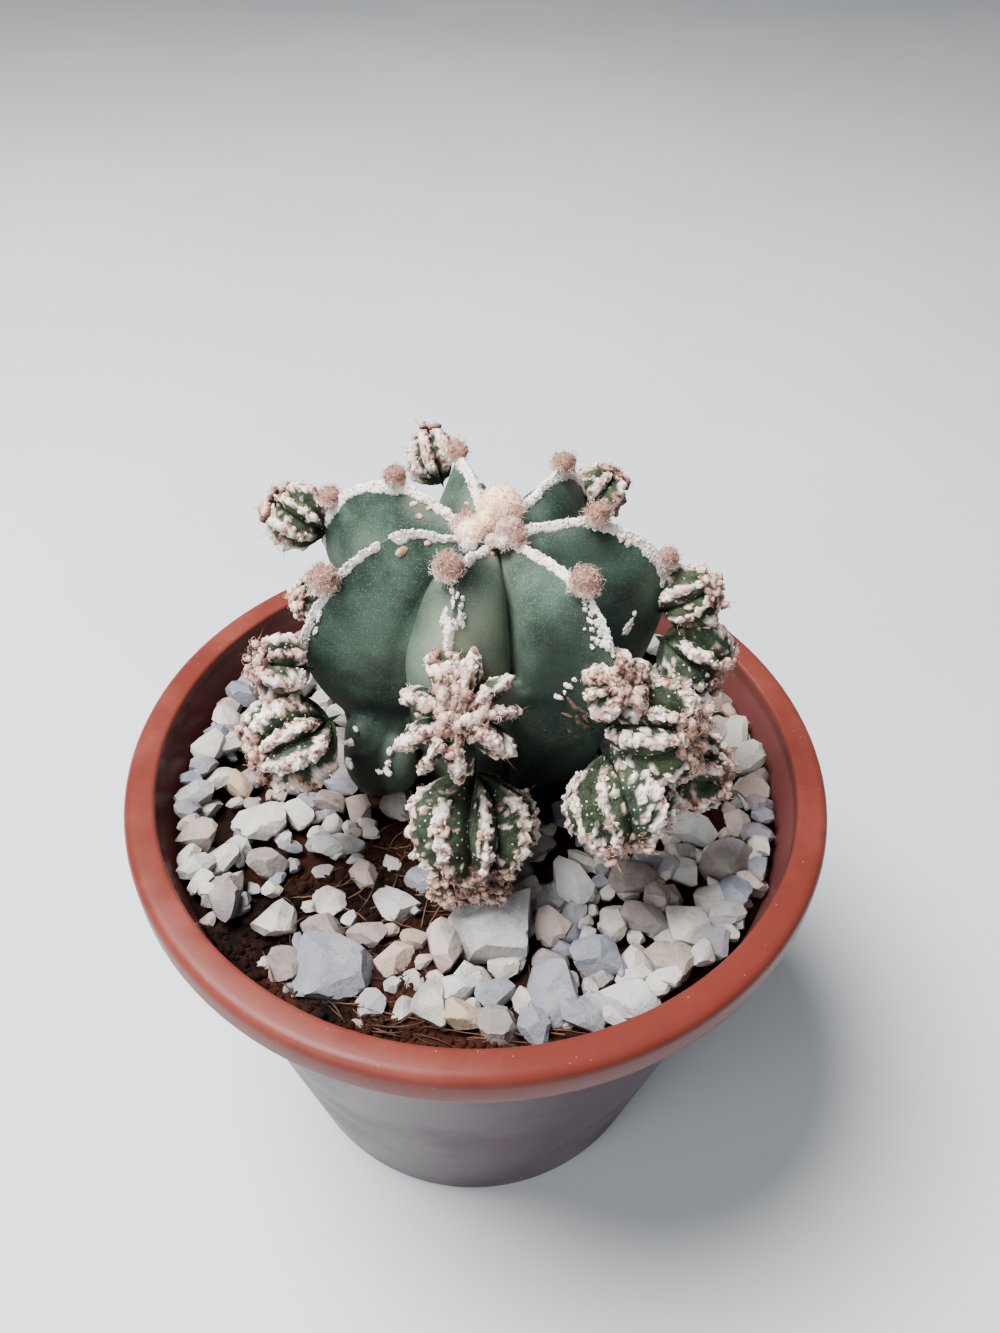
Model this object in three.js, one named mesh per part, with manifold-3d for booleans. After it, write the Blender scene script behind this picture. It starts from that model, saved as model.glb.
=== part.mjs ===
// A young bishop's cap cactus, seven swollen ribs with felted crests and clusters of woolly offsets,
// standing in soil and limestone grit in a brown plastic pot.
// Millimetres, +Z up. The origin is the centre of the pot's foot, and the plant is seen best from -Y.
import * as THREE from "three";
import { mergeVertices } from "three/addons/utils/BufferGeometryUtils.js";
import Module from "manifold-3d";

const wasm = await Module();
wasm.setup();

// Pot
const POT_HEIGHT = 67;
const RIM_RADIUS = 45;
const RIM_WIDTH = 3.9;
const RIM_DROP = 4.4;
const SKIRT_WALL = 1.3;
const WALL_TOP_RADIUS = 41.2;
const FOOT_RADIUS = 29.8;
const POT_WALL = 1.1;
const FOOT_RING = 3.2;
const FLOOR_LIFT = 2;
const FLOOR_THICKNESS = 1.3;
const FLOOR_TOP = FLOOR_LIFT + FLOOR_THICKNESS;
const WALL_STEP = 5;
const DRAIN_RADIUS = 3.4;
const DRAIN_CIRCLE = 15;
const DRAIN_COUNT = 4;
const POT_SIDES = 36;

// Soil and grit
const GAP = 0.32;
const SOIL_TOP = 58.3;
const BARE_SOIL_TOP = 60.2;
const BED_BOTTOM = 58.65;
const BED_TOP = 61;
const BED_OUTER_RADIUS = 38.7;
const BED_INNER_RADIUS = 11.6;
const BARE_FROM = -141;
const BARE_TO = -99;
const GRIT_COUNT = 98;
const GRIT_TRIES = 9000;
const GRIT_SEED = 20261;
const GRIT_SMALLEST = 2.2;
const GRIT_SPREAD = 2.1;
const GRIT_CLOSENESS = 0.66;
const GRIT_LIFT = 0.14;
const LARGE_CHIP_LIFT = 0.22;
const LOOSE_LIFT = 0.12;
const SOIL_ROUGHNESS = 0.45;

// Stem: one row per rib, from the front one round by the right. It holds the rib's azimuth in degrees
// and its crest as [radius, height] at five stations: crown edge, shoulder, its outer edge, belly, skirt.
const PLANT_X = 1.5;
const PLANT_Y = 4;
const CROWN_HEIGHT = 98.2;
const RIBS = [
  { azimuth: -107, crest: [[5, 99.6], [10.5, 102], [14.5, 97.5], [16.5, 88], [14.5, 74]] },
  { azimuth: -49, crest: [[5, 99.8], [13, 100.2], [18.5, 96.5], [20.6, 88], [17.5, 74]] },
  { azimuth: 1, crest: [[5, 100], [11.5, 100.6], [18.4, 96.6], [20.5, 89], [17, 75]] },
  { azimuth: 54, crest: [[6, 99.8], [12.5, 100.6], [17.5, 97], [20, 88], [17, 75]] },
  { azimuth: 108, crest: [[6, 99.4], [11, 100.4], [17, 98], [20.5, 89], [17, 75]] },
  { azimuth: 154, crest: [[5, 99.2], [12.5, 101.4], [20.3, 97.4], [24.2, 89], [19, 76]] },
  { azimuth: 197, crest: [[5.5, 99.2], [11.2, 100.6], [18.5, 95.6], [23, 85.5], [18, 73]] },
];
const GROOVE = [[3.6, 96.8], [7.8, 94], [10.6, 88.5], [11.6, 81.5], [10.6, 71]];
const ROOT = [[9.4, 63], [8, 57], [5, 44], [0, 38]];
const RIB_FULLNESS = 0.8;
const STEM_ROWS = [0.5, 1, 1.5, 1.8, 2.15, 2.5, 2.85, 3.25, 3.7, 4.2, 4.7, 5.3, 6, 7, 8];
const RIB_STEPS = [0, 0.14, 0.4, 0.72];

// Swellings low on the stem between the ribs: centre and radii.
const HUMPS = [
  { at: [8.4, -7.6, 82.4], radii: [4.6, 4.4, 5] },
  { at: [-14.6, -6.4, 77], radii: [2.6, 2.6, 3.2] },
  { at: [-9.2, -6.8, 71.5], radii: [2.8, 3, 3.8] },
  { at: [15.6, 10.5, 76], radii: [3.6, 3.6, 4.2] },
  { at: [-13.5, 14, 77], radii: [3.4, 3.4, 4] },
];

// Felt along each crest, down to the station where the first offset sits, and the woolly areoles on it:
// rib number, station and radius.
const FELT_RADIUS = 1;
const FELT_SIDES = 4;
const FELT_STEP = 0.5;
const FELT_ENDS = [3.5, 3.5, 3.5, 3.5, 3.5, 4, 4];
const AREOLES = [
  [0, 2.1, 1.9], [1, 2.15, 1.95], [1, 0.85, 1.25], [2, 1.95, 1.75], [2, 3.2, 1.5], [3, 2.1, 1.75],
  [5, 2.05, 1.6], [5, 3.25, 1.6], [5, 0.8, 1.2], [6, 3.05, 2.05], [4, 2.4, 1.5],
];
const APEX_WOOL = { at: [1.8, 4.9, 101.3], radii: [2.5, 2.4, 2.9] };

// Offsets: centre, the way the crown points, radius and ribs. GROOVE_LEVEL and FLATNESS are shares of
// the radius that hold unless a row states its own.
const GROOVE_LEVEL = 0.62;
const FLATNESS = 0.92;
const OFFSETS = [
  {
    name: "front_upper", at: [-1.6, -14.6, 88.4], crown: [-0.02, -0.72, 0.69], radius: 7.2, ribs: 9,
    groove: 0.42, flat: 0.72,
  },
  { name: "front_lower", at: [0.4, -17.6, 73.4], crown: [0.05, -0.66, -0.75], radius: 8.1, ribs: 8 },
  { name: "right_front_small", at: [14.9, -12, 90.6], crown: [0.35, -0.6, 0.72], radius: 4, ribs: 7 },
  { name: "right_front_upper", at: [19.9, -12.4, 84.6], crown: [0.85, -0.4, 0.33], radius: 6.6, ribs: 8 },
  { name: "right_front_lower", at: [16.3, -17.2, 77.8], crown: [0.25, -0.7, -0.67], radius: 6.4, ribs: 8 },
  { name: "right_front_outer", at: [25.4, -12, 77.8], crown: [0.93, -0.3, 0.1], radius: 4.8, ribs: 7 },
  { name: "left_upper", at: [-22.4, -6.4, 87], crown: [-0.85, -0.35, 0.4], radius: 3.9, ribs: 6 },
  { name: "left_lower", at: [-21.2, -11, 80], crown: [-0.85, -0.5, -0.15], radius: 6, ribs: 8 },
  { name: "right_upper", at: [24.4, 3, 91], crown: [0.8, -0.1, 0.6], radius: 4.4, ribs: 7 },
  { name: "right_lower", at: [25.6, 0.2, 84.6], crown: [0.9, -0.3, -0.3], radius: 4.9, ribs: 7 },
  { name: "back_left_upper", at: [-22.9, 15.2, 92.6], crown: [-0.85, 0.25, 0.45], radius: 4.7, ribs: 7 },
  { name: "back_left_lower", at: [-20.6, 9.2, 84], crown: [-0.85, -0.4, 0.3], radius: 3.6, ribs: 5 },
  { name: "back_upper", at: [-6.6, 24, 96], crown: [-0.3, 0.75, 0.6], radius: 3.9, ribs: 7 },
  { name: "back_lower", at: [-3.4, 24.4, 83], crown: [-0.15, 0.95, -0.2], radius: 5.2, ribs: 7 },
  { name: "back_right_upper", at: [14.6, 19.4, 94.4], crown: [0.6, 0.55, 0.58], radius: 3.8, ribs: 6 },
  { name: "back_right_lower", at: [14.8, 20.6, 82.6], crown: [0.6, 0.78, -0.2], radius: 4.8, ribs: 7 },
];
const LARGE_OFFSET = 5.5;
const OFFSET_DIMPLE = 0.16;
const NECK_REACH = 1.4;
const DIMPLE_WIDTH = 0.45;
const FLANK_SWELL = 0.72;
const LUMP_HEIGHT = 0.09;
const LUMP_PITCH = 5.2;

// Stones lying singly on the bare soil, and the larger chips of the bed, as
// [x, y, half length, turn in degrees].
const LOOSE_STONES = [
  [-15.5, -29, 5, 0], [-17.5, -23.5, 2.7, 0], [-17, -19.5, 2.4, 45], [-12, -24, 2.3, 0],
  [-9.5, -20, 3, -30], [-9, -27, 2.3, 50], [-13.5, -16, 2.3, -40], [-21.5, -28, 3, 90],
  [-11, -33, 2.1, 15], [-7, -33.5, 1.7, 65], [-6.5, -30, 1.6, -20], [-6.5, -16, 2, 0],
  [-16.5, -11, 2.3, 30],
];
const LARGE_CHIPS = [
  [-23, -23, 3, 80], [-4, -33, 2.8, 90], [-1, -31, 2.6, 15], [-3, -26, 2.9, -80], [2.5, -23, 5.2, -15],
  [3.5, -35.5, 2.7, -20], [7.5, -35.5, 2.3, -70], [9.5, -31, 3.9, -70], [12.5, -34, 2.5, -55],
  [17.5, -32.5, 3.6, 0], [12, -16.5, 3.4, -70], [19, -16, 2.8, 0], [20.5, -21.5, 3, 0],
  [30, -19.5, 3.6, -70], [26, -22.5, 3, -70], [-1, -18, 3.2, 0], [31.5, -12, 3.3, 0],
  [27.5, -7.5, 3.2, 0], [-30, -19, 2.9, 25], [-25.5, -15, 2.6, 0],
];

const radians = THREE.MathUtils.degToRad;

// A repeatable stream of numbers between 0 and 1.
function randomStream(seed) {
  let state = seed;
  return () => (state = (state * 48271) % 2147483647) / 2147483647;
}

// A closed geometry as a solid, and a solid as a geometry.
function solidOf(geometry) {
  const bare = geometry.clone();
  for (const name of ["normal", "uv"]) bare.deleteAttribute(name);
  const merged = mergeVertices(bare, 1e-4);
  const vertProperties = merged.attributes.position.array;
  return new wasm.Manifold(
    new wasm.Mesh({ numProp: 3, vertProperties, triVerts: new Uint32Array(merged.index.array) }),
  );
}

function geometryOf(solid) {
  const mesh = solid.getMesh();
  const geometry = new THREE.BufferGeometry();
  geometry.setAttribute("position", new THREE.BufferAttribute(new Float32Array(mesh.vertProperties), 3));
  geometry.setIndex(new THREE.BufferAttribute(new Uint32Array(mesh.triVerts), 1));
  geometry.computeVertexNormals();
  return geometry;
}

function largestPiece(solid) {
  return solid.decompose().sort((a, b) => b.volume() - a.volume())[0];
}

// A geometry with every point moved outwards along its normal.
function grown(geometry, by) {
  const bare = geometry.clone();
  for (const name of ["normal", "uv"]) bare.deleteAttribute(name);
  const merged = mergeVertices(bare, 1e-4);
  merged.computeVertexNormals();
  const { position, normal } = merged.attributes;
  for (let i = 0; i < position.count; i++) {
    const x = position.getX(i) + by * normal.getX(i);
    const y = position.getY(i) + by * normal.getY(i);
    position.setXYZ(i, x, y, position.getZ(i) + by * normal.getZ(i));
  }
  return merged;
}

// A closed skin over rings of points, with a pole at each end.
function skinOverRings(top, rings, bottom) {
  const sides = rings[0].length;
  const points = [top, ...rings.flat(), bottom];
  const last = points.length - 1;
  const index = [];
  for (let j = 0; j < sides; j++) {
    const next = (j + 1) % sides;
    index.push(0, 1 + j, 1 + next);
    for (let i = 0; i + 1 < rings.length; i++) {
      const [a, b] = [1 + i * sides + j, 1 + i * sides + next];
      index.push(a, a + sides, b, b, a + sides, b + sides);
    }
    const ring = 1 + (rings.length - 1) * sides;
    index.push(last, ring + next, ring + j);
  }
  const geometry = new THREE.BufferGeometry().setFromPoints(points);
  geometry.setIndex(index);
  return geometry;
}

// A smooth value through a row of stations, read at any place along it.
function along(stations, at) {
  const i = Math.min(Math.floor(at), stations.length - 2);
  const t = at - i;
  const pick = (k) => stations[Math.max(0, Math.min(stations.length - 1, k))];
  const [a, b, c, d] = [pick(i - 1), pick(i), pick(i + 1), pick(i + 2)];
  const blend = (p, q, r, s) =>
    q + 0.5 * t * (r - p + t * (2 * p - 5 * q + 4 * r - s + t * (3 * (q - r) + s - p)));
  return [blend(a[0], b[0], c[0], d[0]), blend(a[1], b[1], c[1], d[1])];
}

// Pot: one thin moulded wall with a hollow rim, a foot ring and holes in its lifted floor.
const wallRadius = (z) => FOOT_RADIUS + ((WALL_TOP_RADIUS - FOOT_RADIUS) * z) / (POT_HEIGHT - RIM_DROP);

function makePot() {
  const skirtInner = RIM_RADIUS - SKIRT_WALL;
  const rimUnder = POT_HEIGHT - SKIRT_WALL;
  const rimInner = RIM_RADIUS - RIM_WIDTH;
  const profile = [
    [0, FLOOR_LIFT], [FOOT_RADIUS - FOOT_RING, FLOOR_LIFT], [FOOT_RADIUS - FOOT_RING + 0.4, 0],
    [FOOT_RADIUS - 0.5, 0], [wallRadius(0.6), 0.6], [wallRadius(rimUnder), rimUnder], [skirtInner, rimUnder],
    [skirtInner, POT_HEIGHT - RIM_DROP], [RIM_RADIUS - 0.4, POT_HEIGHT - RIM_DROP],
    [RIM_RADIUS, POT_HEIGHT - RIM_DROP + 0.5], [RIM_RADIUS, POT_HEIGHT - 1.5],
    [RIM_RADIUS - 1, POT_HEIGHT], [rimInner + 0.4, POT_HEIGHT], [rimInner, POT_HEIGHT - 0.5],
    [rimInner, POT_HEIGHT - 1.6], [wallRadius(POT_HEIGHT - WALL_STEP) - POT_WALL, POT_HEIGHT - WALL_STEP],
    [wallRadius(FLOOR_TOP) - POT_WALL, FLOOR_TOP], [0, FLOOR_TOP],
  ].map(([r, z]) => new THREE.Vector2(r, z));
  const shell = new THREE.LatheGeometry(profile, POT_SIDES).rotateX(Math.PI / 2);
  let pot = solidOf(shell);
  for (let i = 0; i < DRAIN_COUNT; i++) {
    const angle = (2 * Math.PI * (i + 0.5)) / DRAIN_COUNT;
    const hole = new THREE.CylinderGeometry(DRAIN_RADIUS, DRAIN_RADIUS, 6, 12).rotateX(Math.PI / 2);
    hole.translate(DRAIN_CIRCLE * Math.cos(angle), DRAIN_CIRCLE * Math.sin(angle), FLOOR_TOP);
    pot = pot.subtract(solidOf(hole));
  }
  return pot;
}

// The radius inside the pot at a height, less the gap.
function insideRadius(z) {
  return wallRadius(z) - POT_WALL - GAP;
}

// Stem: the point on its skin at a place round it, counted in ribs, and at a station down it.
function ribPoint(around, down) {
  const count = RIBS.length;
  const i = Math.floor(around) % count;
  const turn = around - Math.floor(around);
  const here = RIBS[i];
  const next = RIBS[(i + 1) % count];
  const span = (next.azimuth - here.azimuth + 360) % 360;
  const azimuth = radians(here.azimuth + span * turn);
  const rib = turn <= 0.5 ? here : next;
  const share = Math.abs(1 - 2 * turn);
  const rise = RIB_FULLNESS * Math.sqrt(share) + (1 - RIB_FULLNESS) * share ** 3;
  const crown = [0, CROWN_HEIGHT];
  const crest = along([crown, ...rib.crest, ...ROOT], down);
  const groove = along([crown, ...GROOVE, ...ROOT], down);
  const r = groove[0] + rise * (crest[0] - groove[0]);
  const z = groove[1] + rise * (crest[1] - groove[1]);
  return new THREE.Vector3(PLANT_X + r * Math.cos(azimuth), PLANT_Y + r * Math.sin(azimuth), z);
}

function stemSkin() {
  const half = RIB_STEPS.map((x) => x / 2);
  const turns = [...half, 0.5, ...half.slice(1).reverse().map((x) => 1 - x)];
  const places = RIBS.flatMap((_, i) => turns.map((t) => i + t));
  const rings = STEM_ROWS.map((down) => places.map((around) => ribPoint(around, down)));
  const top = new THREE.Vector3(PLANT_X, PLANT_Y, CROWN_HEIGHT);
  const tip = new THREE.Vector3(PLANT_X, PLANT_Y, ROOT.at(-1)[1]);
  return skinOverRings(top, rings, tip);
}

// An egg-shaped lump of few faces.
function lump({ at, radii }, detail = 1, more = 0) {
  const ball = new THREE.IcosahedronGeometry(1, detail);
  ball.scale(radii[0] + more, radii[1] + more, radii[2] + more);
  return ball.translate(...at);
}

function makeStem() {
  return HUMPS.reduce((stem, hump) => stem.add(solidOf(lump(hump))), solidOf(stemSkin()));
}

function roomForStem() {
  const room = solidOf(grown(stemSkin(), GAP + 0.05));
  return HUMPS.reduce((all, hump) => all.add(solidOf(lump(hump, 1, GAP + 0.05))), room);
}

// Felt and wool: a rounded cord of felt along each crest, a ball on each areole and a tuft on the crown.
function feltCord(rib) {
  const path = [new THREE.Vector3(PLANT_X, PLANT_Y, CROWN_HEIGHT + 1.2)];
  for (let down = 0.5; down <= FELT_ENDS[rib]; down += FELT_STEP) path.push(ribPoint(rib, down));
  const curve = new THREE.CatmullRomCurve3(path);
  const section = new THREE.Shape();
  for (let k = 0; k < FELT_SIDES; k++) {
    const angle = (2 * Math.PI * k) / FELT_SIDES;
    const [x, y] = [FELT_RADIUS * Math.cos(angle), FELT_RADIUS * Math.sin(angle)];
    if (k === 0) section.moveTo(x, y);
    else section.lineTo(x, y);
  }
  section.closePath();
  const steps = path.length - 1;
  return new THREE.ExtrudeGeometry(section, { extrudePath: curve, steps, bevelEnabled: false });
}

function areoleBall([rib, station, radius]) {
  const at = ribPoint(rib, station);
  const before = ribPoint(rib, station - 0.1);
  const downhill = ribPoint(rib, station + 0.1).sub(before).normalize();
  const azimuth = radians(RIBS[rib].azimuth);
  const sideways = new THREE.Vector3(-Math.sin(azimuth), Math.cos(azimuth), 0);
  const outwards = new THREE.Vector3().crossVectors(downhill, sideways).normalize();
  at.addScaledVector(outwards, radius * 0.55);
  return lump({ at: at.toArray(), radii: [radius, radius, radius] }, 0);
}

function makeWool(stemRoom, offsetRoom) {
  let wool = solidOf(lump(APEX_WOOL));
  RIBS.forEach((_, rib) => {
    wool = wool.add(solidOf(feltCord(rib)));
  });
  for (const areole of AREOLES) wool = wool.add(solidOf(areoleBall(areole)));
  return largestPiece(wool.subtract(stemRoom).subtract(offsetRoom));
}

// An offset: a small globe of deep ribs, whose crests carry felted lumps, whose crown is dimpled and
// whose neck reaches back into the stem.
function offsetSkin({ at, crown, radius, ribs, groove = GROOVE_LEVEL, flat = FLATNESS }, seed) {
  const random = randomStream(seed);
  const [rows, steps] = radius > LARGE_OFFSET ? [8, 4] : [6, 2];
  const swell = Array.from({ length: ribs }, () => {
    return { size: 0.88 + 0.2 * random(), phase: 2 * Math.PI * random() };
  });
  const toCrown = new THREE.Quaternion().setFromUnitVectors(
    new THREE.Vector3(0, 0, 1),
    new THREE.Vector3(...crown).normalize(),
  );
  const centre = new THREE.Vector3(...at);
  const place = (angle, r, z) =>
    new THREE.Vector3(r * Math.cos(angle), r * Math.sin(angle), z).applyQuaternion(toCrown).add(centre);
  const rings = [];
  for (let i = 1; i < rows; i++) {
    const polar = (Math.PI * i) / rows;
    const dimple = 1 - OFFSET_DIMPLE * Math.exp(-((polar / DIMPLE_WIDTH) ** 2));
    const ring = [];
    for (let j = 0; j < steps * ribs; j++) {
      const { size, phase } = swell[Math.round(j / steps) % ribs];
      const share = Math.abs(1 - (2 * (j % steps)) / steps);
      const height = groove + (1 - groove) * (share === 0.5 ? FLANK_SWELL : share);
      const lumps = share === 1 ? LUMP_HEIGHT * Math.sin(LUMP_PITCH * polar + phase) : 0;
      const reach = radius * dimple * (height * size + lumps);
      const angle = (2 * Math.PI * j) / (steps * ribs);
      ring.push(place(angle, reach * Math.sin(polar), reach * flat * Math.cos(polar)));
    }
    rings.push(ring);
  }
  const pole = radius * flat * (1 - OFFSET_DIMPLE);
  return skinOverRings(place(0, 0, pole), rings, place(0, 0, -pole * NECK_REACH));
}

function makeOffsets(stemRoom) {
  const skins = OFFSETS.map((offset, i) => offsetSkin(offset, 77 + 13 * i));
  const rooms = skins.map((skin) => solidOf(grown(skin, GAP + 0.05)));
  const solids = skins.map((skin, i) => {
    let offset = solidOf(skin).subtract(stemRoom);
    for (const room of rooms.slice(0, i)) offset = offset.subtract(room);
    return largestPiece(offset);
  });
  const room = rooms.reduce((all, one) => all.add(one));
  return { solids, room };
}

// A worn limestone chip: a ball pressed flat against ten planes, stretched and turned.
function stone({ at, half, turn, seed }, more = 0) {
  const random = randomStream(seed);
  const signed = () => 2 * random() - 1;
  const planes = [[1, 0, 0], [-1, 0, 0], [0, 1, 0], [0, -1, 0], [0, 0, 1], [0, 0, -1]]
    .map(([x, y, z]) => [x + 0.4 * signed(), y + 0.4 * signed(), z + 0.4 * signed()])
    .concat([0, 0, 0, 0].map(() => [signed(), signed(), signed()]))
    .map((n) => ({ normal: new THREE.Vector3(...n).normalize(), far: 0.78 + 0.27 * random() }));
  const [wide, thick] = [0.62 + 0.26 * random(), 0.46 + 0.22 * random()];
  const [pitch, roll] = [0.45 * signed(), 0.45 * signed()];
  const ball = mergeVertices(
    new THREE.IcosahedronGeometry(1, 0).deleteAttribute("normal").deleteAttribute("uv"),
    1e-4,
  );
  const position = ball.attributes.position;
  for (let i = 0; i < position.count; i++) {
    const way = new THREE.Vector3().fromBufferAttribute(position, i).normalize();
    const press = planes.reduce((sum, { normal, far }) => sum + Math.max(0, normal.dot(way) / far) ** 10, 0);
    way.multiplyScalar(Math.min(1.15, press ** -0.1));
    position.setXYZ(i, way.x, way.y, way.z);
  }
  ball.scale(half + more, half * wide + more, half * thick + more);
  ball.rotateX(roll).rotateY(pitch).rotateZ(turn);
  return ball.translate(...at);
}

function inBareSector(x, y, margin) {
  const angle = THREE.MathUtils.radToDeg(Math.atan2(y, x));
  const slack = THREE.MathUtils.radToDeg(margin / Math.max(8, Math.hypot(x, y)));
  return angle > BARE_FROM - slack && angle < BARE_TO + slack;
}

// Grit: where each chip lies, by a rule that throws chips at the bed and keeps those with room.
function gritPlaces() {
  const random = randomStream(GRIT_SEED);
  const seedOf = (n) => 5000 + 31 * n;
  const kept = LARGE_CHIPS.map(([x, y, half, turn], n) => {
    return { at: [x, y, BED_TOP + LARGE_CHIP_LIFT * half], half, turn: radians(turn), seed: seedOf(n) };
  });
  for (let n = 0; n < GRIT_TRIES && kept.length < GRIT_COUNT; n++) {
    const x = (2 * random() - 1) * BED_OUTER_RADIUS;
    const y = (2 * random() - 1) * BED_OUTER_RADIUS;
    const half = GRIT_SMALLEST + GRIT_SPREAD * random() ** 2;
    const turn = 2 * Math.PI * random();
    const clear =
      Math.hypot(x, y) < BED_OUTER_RADIUS - 0.75 * half &&
      Math.hypot(x - PLANT_X, y - PLANT_Y) > BED_INNER_RADIUS + 0.7 * half &&
      !inBareSector(x, y, 0.5 * half) &&
      kept.every((k) => Math.hypot(x - k.at[0], y - k.at[1]) > GRIT_CLOSENESS * (half + k.half));
    if (clear) kept.push({ at: [x, y, BED_TOP + GRIT_LIFT * half], half, turn, seed: seedOf(kept.length) });
  }
  return kept;
}

// The bed under the chips: a C-shaped slab open towards the bare soil.
function bedSlab(more = 0) {
  const [from, to] = [radians(BARE_TO), radians(BARE_FROM + 360)];
  const slack = more / 25;
  const outline = new THREE.Shape();
  outline.absarc(0, 0, BED_OUTER_RADIUS + more, from - slack, to + slack, false);
  const steps = 14;
  for (let k = 0; k <= steps; k++) {
    const angle = to + slack + ((from - to - 2 * slack) * k) / steps;
    const r = BED_INNER_RADIUS - more;
    outline.lineTo(PLANT_X + r * Math.cos(angle), PLANT_Y + r * Math.sin(angle));
  }
  const depth = BED_TOP - BED_BOTTOM + (more ? 12 : 0);
  const slab = new THREE.ExtrudeGeometry(outline, { depth, bevelEnabled: false, curveSegments: 24 });
  return solidOf(slab.translate(0, 0, BED_BOTTOM - more));
}

// The bed with its chips, cut to the inside of the pot.
function makeGrit(places, stemRoom) {
  const chips = places.map((place) => solidOf(stone(place)));
  const [low, high] = [BED_BOTTOM - 1, POT_HEIGHT - RIM_DROP];
  const room = [[0, low], [insideRadius(low), low], [insideRadius(high), high], [0, high + 9]];
  const profile = room.map(([r, z]) => new THREE.Vector2(r, z));
  const inPot = solidOf(new THREE.LatheGeometry(profile, POT_SIDES).rotateX(Math.PI / 2));
  return largestPiece(wasm.Manifold.union([bedSlab(), ...chips]).subtract(stemRoom).intersect(inPot));
}

function loosePlaces() {
  return LOOSE_STONES.map(([x, y, half, turn], i) => {
    const at = [x, y, BARE_SOIL_TOP + LOOSE_LIFT * half];
    return { at, half, turn: radians(turn), seed: 9001 + 17 * i };
  });
}

// Soil: it fills the pot, rises a little where it is bare, and has a plain hole for the root.
function makeSoil(chipRoom) {
  const random = randomStream(404);
  const shares = [0.3, 0.55, 0.8, 1];
  const bottom = FLOOR_TOP + GAP;
  const floorRadius = insideRadius(bottom);
  const ringAt = (radius, z, rough) =>
    Array.from({ length: POT_SIDES }, (_, j) => {
      const angle = (2 * Math.PI * j) / POT_SIDES;
      const lift = rough * (2 * random() - 1);
      return new THREE.Vector3(radius * Math.cos(angle), radius * Math.sin(angle), z + lift);
    });
  const rings = shares.map((s) => ringAt(s * insideRadius(BARE_SOIL_TOP - 0.6), BARE_SOIL_TOP, SOIL_ROUGHNESS));
  rings.push(ringAt(floorRadius, bottom, 0));
  const top = new THREE.Vector3(0, 0, BARE_SOIL_TOP);
  const heap = solidOf(skinOverRings(top, rings, new THREE.Vector3(0, 0, bottom)));
  const [neck, lower, tail] = ROOT;
  const hole = [
    [0, ROOT.at(-1)[1] - GAP], [tail[0] + GAP, tail[1] - GAP], [lower[0] + GAP, lower[1] - GAP],
    [neck[0] + 3 * GAP, neck[1] + GAP], [0, neck[1] + GAP],
  ].map(([r, z]) => new THREE.Vector2(r, z));
  const holeShape = new THREE.LatheGeometry(hole, 24).rotateX(Math.PI / 2).translate(PLANT_X, PLANT_Y, 0);
  const soil = heap.subtract(bedSlab(BED_BOTTOM - SOIL_TOP)).subtract(solidOf(holeShape)).subtract(chipRoom);
  return largestPiece(soil);
}

// Materials
const finish = (color, roughness) => new THREE.MeshStandardMaterial({ color, roughness, metalness: 0 });
const potPlastic = finish(0xa8523f, 0.42);
const soilBrown = finish(0x34241c, 0.95);
const limestone = finish(0xbdb6ab, 0.85);
const stemGreen = finish(0x3f5a45, 0.6);
const woolCream = finish(0xd9cdc0, 1);
const offsetFelt = finish(0xb3a596, 0.95);

// The object
const object = new THREE.Group();
function addPiece(name, solid, material) {
  const mesh = new THREE.Mesh(geometryOf(solid), material);
  mesh.name = name;
  object.add(mesh);
}

const stemRoom = roomForStem();
const offsets = makeOffsets(stemRoom);
const loose = loosePlaces();
const looseRooms = loose.map((place) => solidOf(stone(place, GAP)));
const looseSolids = loose.map((place, i) =>
  largestPiece(looseRooms.slice(0, i).reduce((left, room) => left.subtract(room), solidOf(stone(place)))),
);
const looseRoom = wasm.Manifold.union(looseRooms);
const grit = gritPlaces();
const edgeRooms = grit
  .filter(({ at, half }) => inBareSector(at[0], at[1], 1.2 * half))
  .map((place) => solidOf(stone(place, GAP)));
const chipRoom = wasm.Manifold.union([looseRoom, ...edgeRooms]);

addPiece("pot", makePot(), potPlastic);
addPiece("soil", makeSoil(chipRoom), soilBrown);
addPiece("limestone_grit", largestPiece(makeGrit(grit, stemRoom).subtract(looseRoom)), limestone);
looseSolids.forEach((solid, i) => addPiece(`loose_stone_${String(i + 1).padStart(2, "0")}`, solid, limestone));
addPiece("stem", makeStem(), stemGreen);
addPiece("crest_felt_and_wool", makeWool(stemRoom, offsets.room), woolCream);
offsets.solids.forEach((solid, i) => addPiece(`offset_${OFFSETS[i].name}`, solid, offsetFelt));

export default object;
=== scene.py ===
# %% [markdown]
# # A potted bishop's cap cactus
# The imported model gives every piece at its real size. This script keeps those sizes and dresses them: a
# moulded plastic pot, peat, limestone chips, a stem with seven swollen ribs, white felt on the crests, and
# young heads that are half hidden under their own wool. The model is loaded first, as a fixed frame.

# %% Load the frame
import itertools
import math

import bmesh
import bpy
import numpy as np
from mathutils import Matrix, Vector


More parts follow.
